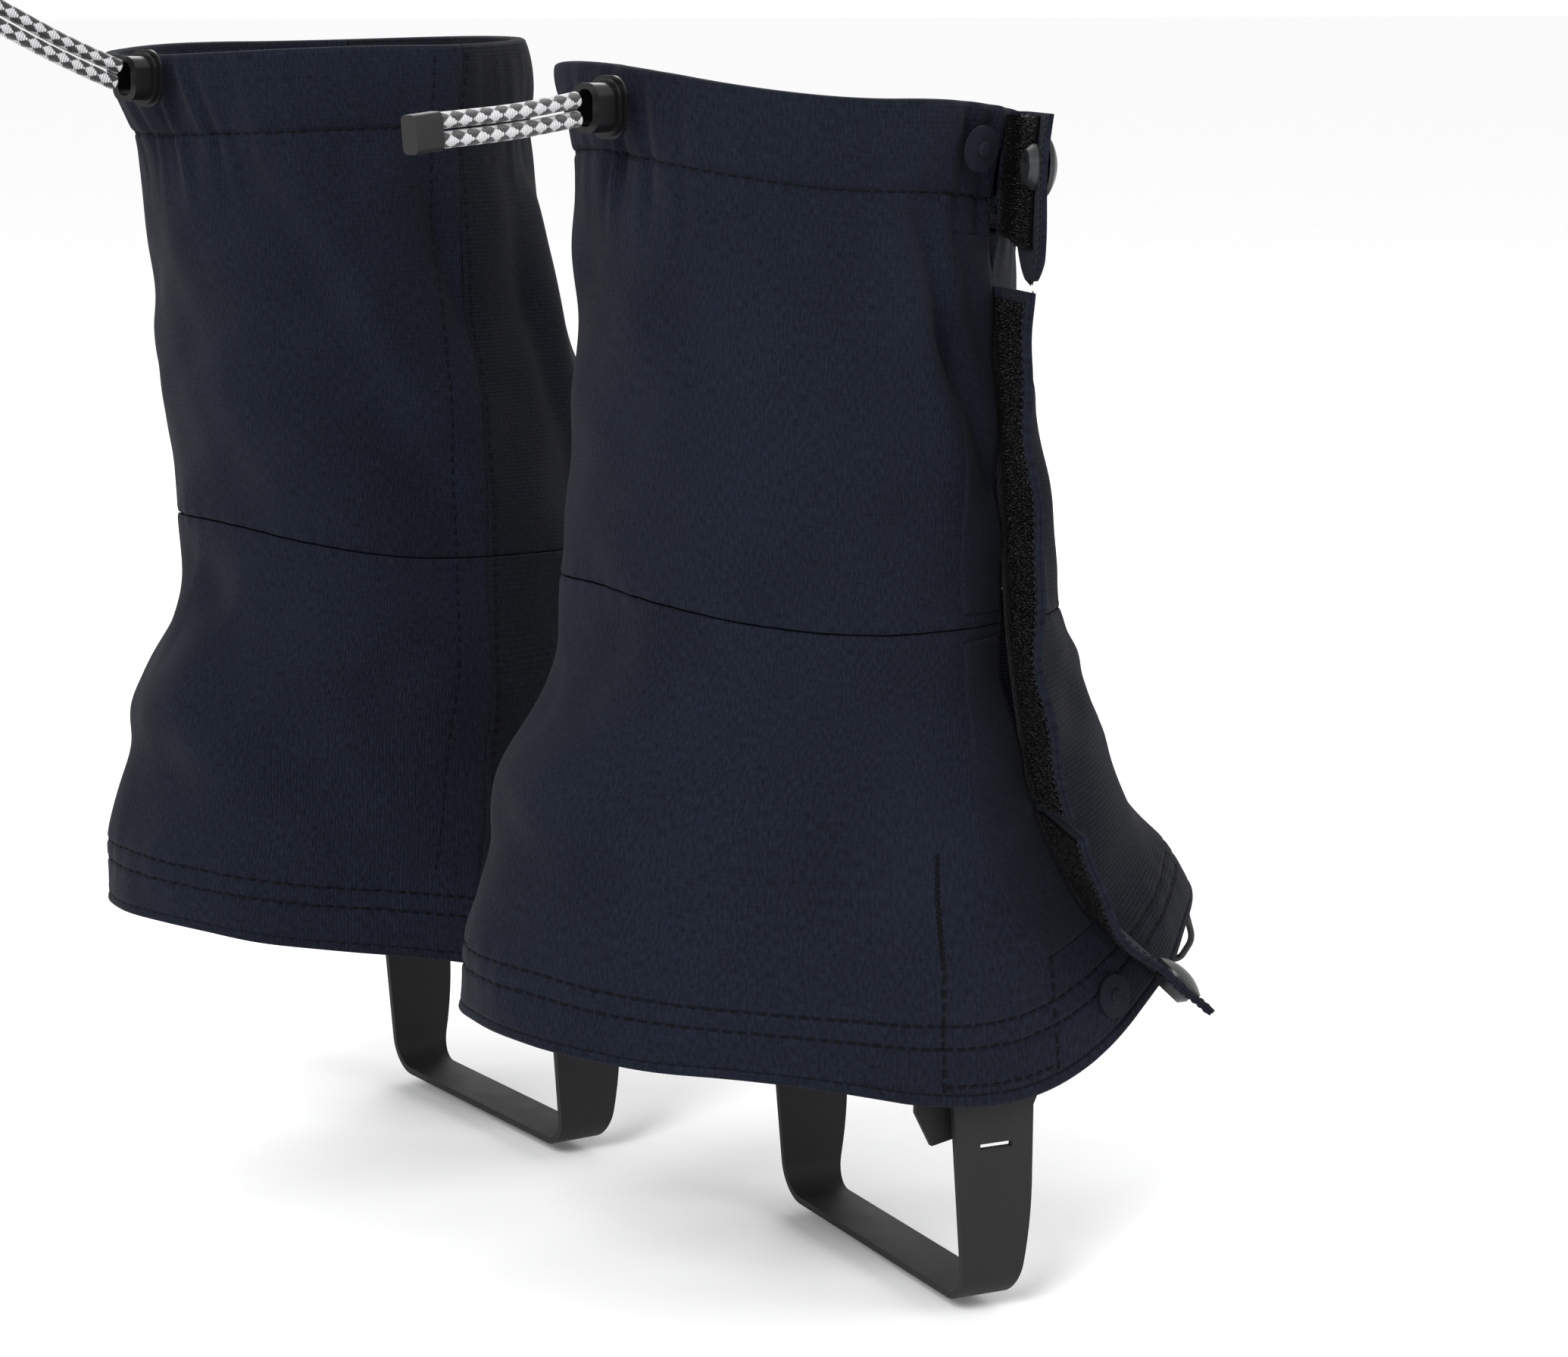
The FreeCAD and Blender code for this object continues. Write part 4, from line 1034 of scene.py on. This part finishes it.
def make_flap(side, name, levels, out, forward, strip_first, seed):
    """One length of the closure flap: cloth, turned free edge, hook strip with hooks, and its stitching."""
    body = side + "_" + name
    roots = flap_root(levels, side)
    feet = wall(side, levels, closure_angle(levels), 0.0)
    points, uvs = flap_grid(roots, feet, out, forward, FLAP_ROOT, FLAP_WIDTH, FLAP_FRONT, 24)
    cloth_piece = shell(body + "_cloth", side, points, uvs, FLAP_THICK, "navy_cloth")
    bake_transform(cloth_piece)
    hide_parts(body)

    edge_points, edge_uvs = flap_grid(roots, feet, out, forward, FLAP_WIDTH - FLAP_EDGE, FLAP_WIDTH - 0.05,
                                      FLAP_BACK, 8)
    edge = shell(body + "_turned_edge", side, edge_points, edge_uvs, EDGE_THICK, "navy_cloth")
    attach(edge, body)

    strip_points, strip_uvs = flap_grid(roots, feet, out, forward, TAPE_ROOT, FLAP_WIDTH - TAPE_INSET,
                                        FLAP_BACK, 16)
    strip_points = strip_points[strip_first:-2]
    strip = shell(body + "_hook_tape", side, strip_points, strip_uvs[strip_first:-2], HOOK_TAPE_THICK,
                  "hook_strip")
    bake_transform(strip)
    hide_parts(side + "_" + name.replace("flap", "hook_strip"))
    hook_field(body + "_hooks", side, strip_points[:, 2:] - forward * HOOK_FACE, forward, body,
               spacing=0.55, height=0.95, seed=seed)

    line_stitches(body + "_tape_stitches", side, strip_points[:, -1] - forward * 0.4, -forward, TAPE_STITCH,
                  "pale_thread", body)
    line_stitches(body + "_edge_stitches", side, edge_points[:, 4] - forward * 0.42, -forward, EDGE_STITCH,
                  "thread", body)
    line_stitches(body + "_face_stitches", side, points[:, -3] + forward * 0.47, forward, FACE_STITCH,
                  "thread", body)


def make_flaps(side):
    levels = np.linspace(FLAP_LOW_LEVEL - 0.05, FLAP_TOP_LEVEL, 120)
    make_flap(side, "upper_flap", levels, UPPER_OUT, UPPER_FORWARD, strip_first=0, seed=11)
    _, out, forward = lower_flap_frame(side)
    levels = np.linspace(0.1, FLAP_LOW_LEVEL - 0.08, 84)
    make_flap(side, "lower_flap", levels, out, forward, strip_first=24, seed=23)


def tab_frame(side):
    """The tab's lowest root point, the root's top end from there, and the tab's up and facing directions."""
    low = tab_root(level_at_height(flap_root(FLAP_TOP_LEVEL, side)[2] + TAB_GAP, side), side)
    rise = tab_root(TOP, side) - low
    up = rise - UPPER_OUT * rise.dot(UPPER_OUT)
    up /= np.linalg.norm(up)
    return low, rise, up, np.cross(up, UPPER_OUT)


def make_tab(side):
    """The snap tab above the long flap, its foot a round tip."""
    body = side + "_top_tab"
    low, rise, up, forward = tab_frame(side)
    height = rise.dot(up)
    lean = rise.dot(UPPER_OUT)
    rear_round, front_round = TAB_ROUND
    rows = np.linspace(0.0, height, 50)
    tip = TAB_EDGE + (TAB_WIDTH - 9.0) * (1.0 - np.sqrt(np.clip(rows / rear_round, 0.0, 1.0)))
    sewn = TAB_EDGE - 3.0 * np.clip((rows - rear_round) / 2.5, 0.0, 1.0) + lean * rows / height
    rear = np.where(rows < rear_round, tip, sewn)
    front_tip = TAB_WIDTH - 7.0 + 6.0 * np.sqrt(np.clip(rows / front_round, 0.0, 1.0))
    front = np.where(rows < front_round, front_tip,
                     TAB_WIDTH - 1.0 + (rows - front_round) / (height - front_round))
    share = np.linspace(0.0, 1.0, 26)[None, :]
    reach = rear[:, None] + (front - rear)[:, None] * share
    level = level_at_height(low[2], side)
    feet_low = wall(side, level, closure_angle(level), 1.2) - low
    feet_top = wall(side, TOP, closure_angle(TOP), 1.2) - low - rise
    root_line = rows[:, None] * np.array([lean / height, 1.0])
    feet = feet_low + (feet_top - feet_low) * (rows / height)[:, None]
    inside = np.clip(reach - root_line[:, :1], -1.0, 0.0)
    outside = np.maximum(reach, root_line[:, :1])
    points = low + UPPER_OUT * outside[..., None] - feet[:, None, :] * inside[..., None]
    points = points + up * rows[:, None, None]
    points = points + forward * (0.6 + 0.5 * np.sin(rows * 0.16 + 0.5)[:, None] * share ** 2)[..., None]
    uvs = np.stack([reach, rows[:, None] + 0.0 * reach], axis=-1)
    piece = shell(body + "_cloth", side, points, uvs, TAB_THICK, "navy_cloth")
    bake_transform(piece)
    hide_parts(body)
    for label, column in (("outer", 23), ("inner", 21)):
        line = points[4:, column] - forward * 0.5
        line_stitches(body + "_stitches_" + label, side, line, -forward, TAB_STITCH,
                      "pale_thread" if label == "inner" else "thread", body)

    strip = points[10:-1, :18] - forward * 0.8
    tape = shell(body + "_hook_tape", side, strip, uvs[10:-1, :18], HOOK_TAPE_THICK, "hook_strip")
    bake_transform(tape)
    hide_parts(body + "_strip")
    hook_field(body + "_hooks", side, strip - forward * HOOK_FACE, forward, body,
               spacing=0.62, height=0.85, seed=31)


def level_at_height(z, side):
    """The level at which the closure line reaches a height."""
    low, high = 0.0, float(TOP)
    for _ in range(40):
        middle = (low + high) / 2.0
        if flap_root(middle, side)[2] < z:
            low = middle
        else:
            high = middle
    return (low + high) / 2.0


# ---- cords
def lock_frame(side):
    """Middle of the lock's foot on the tunnel, its outward and along-the-hem directions."""
    angle = SIDES[side]["lock"]
    foot = wall(side, TOP, angle, 0.0) - (0.0, 0.0, SIDES[side]["lock_drop"])
    outward = wall(side, TOP, angle, 1.0) - wall(side, TOP, angle, 0.0)
    outward[2] = 0.0
    outward /= np.linalg.norm(outward)
    along = np.cross((0.0, 0.0, 1.0), outward)
    return foot + outward * TUNNEL_FACE, outward, along


def tail_frame(side):
    """Mouth of the lock and the direction in which the tail leaves it."""
    surface, outward, along = lock_frame(side)
    mouth = surface + outward * LOCK_DEPTH
    yaw = math.radians(SIDES[side]["tail_yaw"])
    pitch = math.radians(SIDES[side]["tail_pitch"])
    up = np.array([0.0, 0.0, 1.0])
    level_heading = outward * math.cos(yaw) + along * math.sin(yaw)
    heading = level_heading * math.cos(pitch) + up * math.sin(pitch)
    lifted = up * math.cos(pitch) - level_heading * math.sin(pitch)
    return mouth, heading, lifted, np.cross(up, level_heading)


def cord_curve(name, side, points, material):
    data = bpy.data.curves.new(name, "CURVE")
    data.dimensions = "3D"
    spline = data.splines.new("NURBS")
    spline.points.add(len(points) - 1)
    for point, place in zip(spline.points, to_row(side, points)):
        point.co = (*place, 1.0)
    spline.order_u = 3
    spline.use_endpoint_u = True
    spline.resolution_u = 24
    data.bevel_depth = CORD / 2000.0
    data.bevel_resolution = 7
    data.use_fill_caps = True
    data.materials.append(material)
    return place_object(name, data)


def make_tails(side):
    mouth, heading, up, along = tail_frame(side)
    for name, route in STRAND_ROUTES.items():
        points = [mouth + heading * d + along * s + up * u for d, s, u in route]
        cord = cord_curve(side + "_" + name + "_braid", side, points, braid_material(side, name))
        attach(cord, side + "_cord_tail")
        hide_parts(side + "_" + name)


def make_drawcord(side):
    """The elastic inside the tunnel, in two halves that meet at the lock."""
    lock = SIDES[side]["lock"]
    closure = float(closure_angle(CORD_LEVEL))
    material = fuzz_material(side + "_drawcord_braid", (0.02, 0.02, 0.022), (0.35, 0.35, 0.36), 0.7, 0.15)
    far_end = closure + (360.0 - CLOSURE_CLEAR)
    halves = (("outer", closure + CLOSURE_CLEAR, lock - LOCK_CLEAR), ("inner", lock + LOCK_CLEAR, far_end))
    for name, a, b in halves:
        count = round((b - a) / 2.0)
        angles = np.linspace(a, b, count + 1)
        levels = np.full_like(angles, CORD_LEVEL)
        points = wall(side, levels, angles, folds(side, levels, angles) - CORD_DEPTH)
        cord = cord_curve(side + "_drawcord_" + name, side, points, material)
        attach(cord, side + "_gaiter")
        if name == "outer":
            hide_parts(side + "_drawcord")


# ---- moulded and metal parts
CAD_SLOTS = {
    "cord_lock": "black_plastic",
    "lock_washer": "black_plastic",
    "cord_clip": "clip_plastic",
    "strap": "strap_rubber",
    "strap_anchors": "strap_rubber",
    "strap_studs": "black_plastic",
    "hook_tab": "black_webbing",
    "lace_hook": "hook_metal",
    "top_snap": "snap_cap",
    "bottom_snap": "snap_cap",
    "snap_studs": "snap_metal",
}


def paint_cad_nodes(side):
    for node, slot in CAD_SLOTS.items():
        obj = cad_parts[side + "_" + node]
        obj.data.materials.clear()
        obj.data.materials.append(MATERIALS[slot])


# ---- stage and light
def make_stage():
    floor_mesh = bpy.data.meshes.new("floor")
    far = FLOOR_REACH
    corners = [(-far, -far, 0.0), (far, -far, 0.0), (far, far, 0.0), (-far, far, 0.0)]
    floor_mesh.from_pydata(corners, [], [(0, 1, 2, 3)])
    floor = place_object("floor", floor_mesh)
    material = new_material("floor", (0.96, 0.96, 0.96), 0.95, specular=0.0)
    n = Nodes(material)
    grain = n.noise(n.coordinates("Object"), 30.0, 3.0)
    n.colour(grain, [(0.3, (0.95, 0.95, 0.952)), (0.7, (0.97, 0.97, 0.97))])
    floor_mesh.materials.append(material)


def add_area_light(name, place, size, energy):
    data = bpy.data.lights.new(name, "AREA")
    data.shape = "DISK"
    data.size = size
    data.energy = energy
    light = place_object(name, data)
    light.location = place
    light.rotation_euler = (Vector(LIGHT_AIM) - Vector(place)).to_track_quat("-Z", "Y").to_euler()


def make_lights():
    world = bpy.data.worlds.new("studio")
    bpy.context.scene.world = world
    world.use_nodes = True
    background = world.node_tree.nodes["Background"]
    background.inputs["Color"].default_value = (1.0, 1.0, 1.0, 1.0)
    background.inputs["Strength"].default_value = 1.0
    for name, (place, size, energy) in LIGHTS.items():
        add_area_light(name, place, size, energy)
    bpy.context.scene.view_settings.view_transform = "Standard"


# ---- making
make_camera()
for side in SIDES:
    make_tails(side)
    make_drawcord(side)
for side in SIDES:
    make_panels(side)
    make_seam_tape(side)
    make_loop_bands(side)
    make_stitching(side)
    make_flaps(side)
    make_tab(side)
    paint_cad_nodes(side)
make_stage()
make_lights()
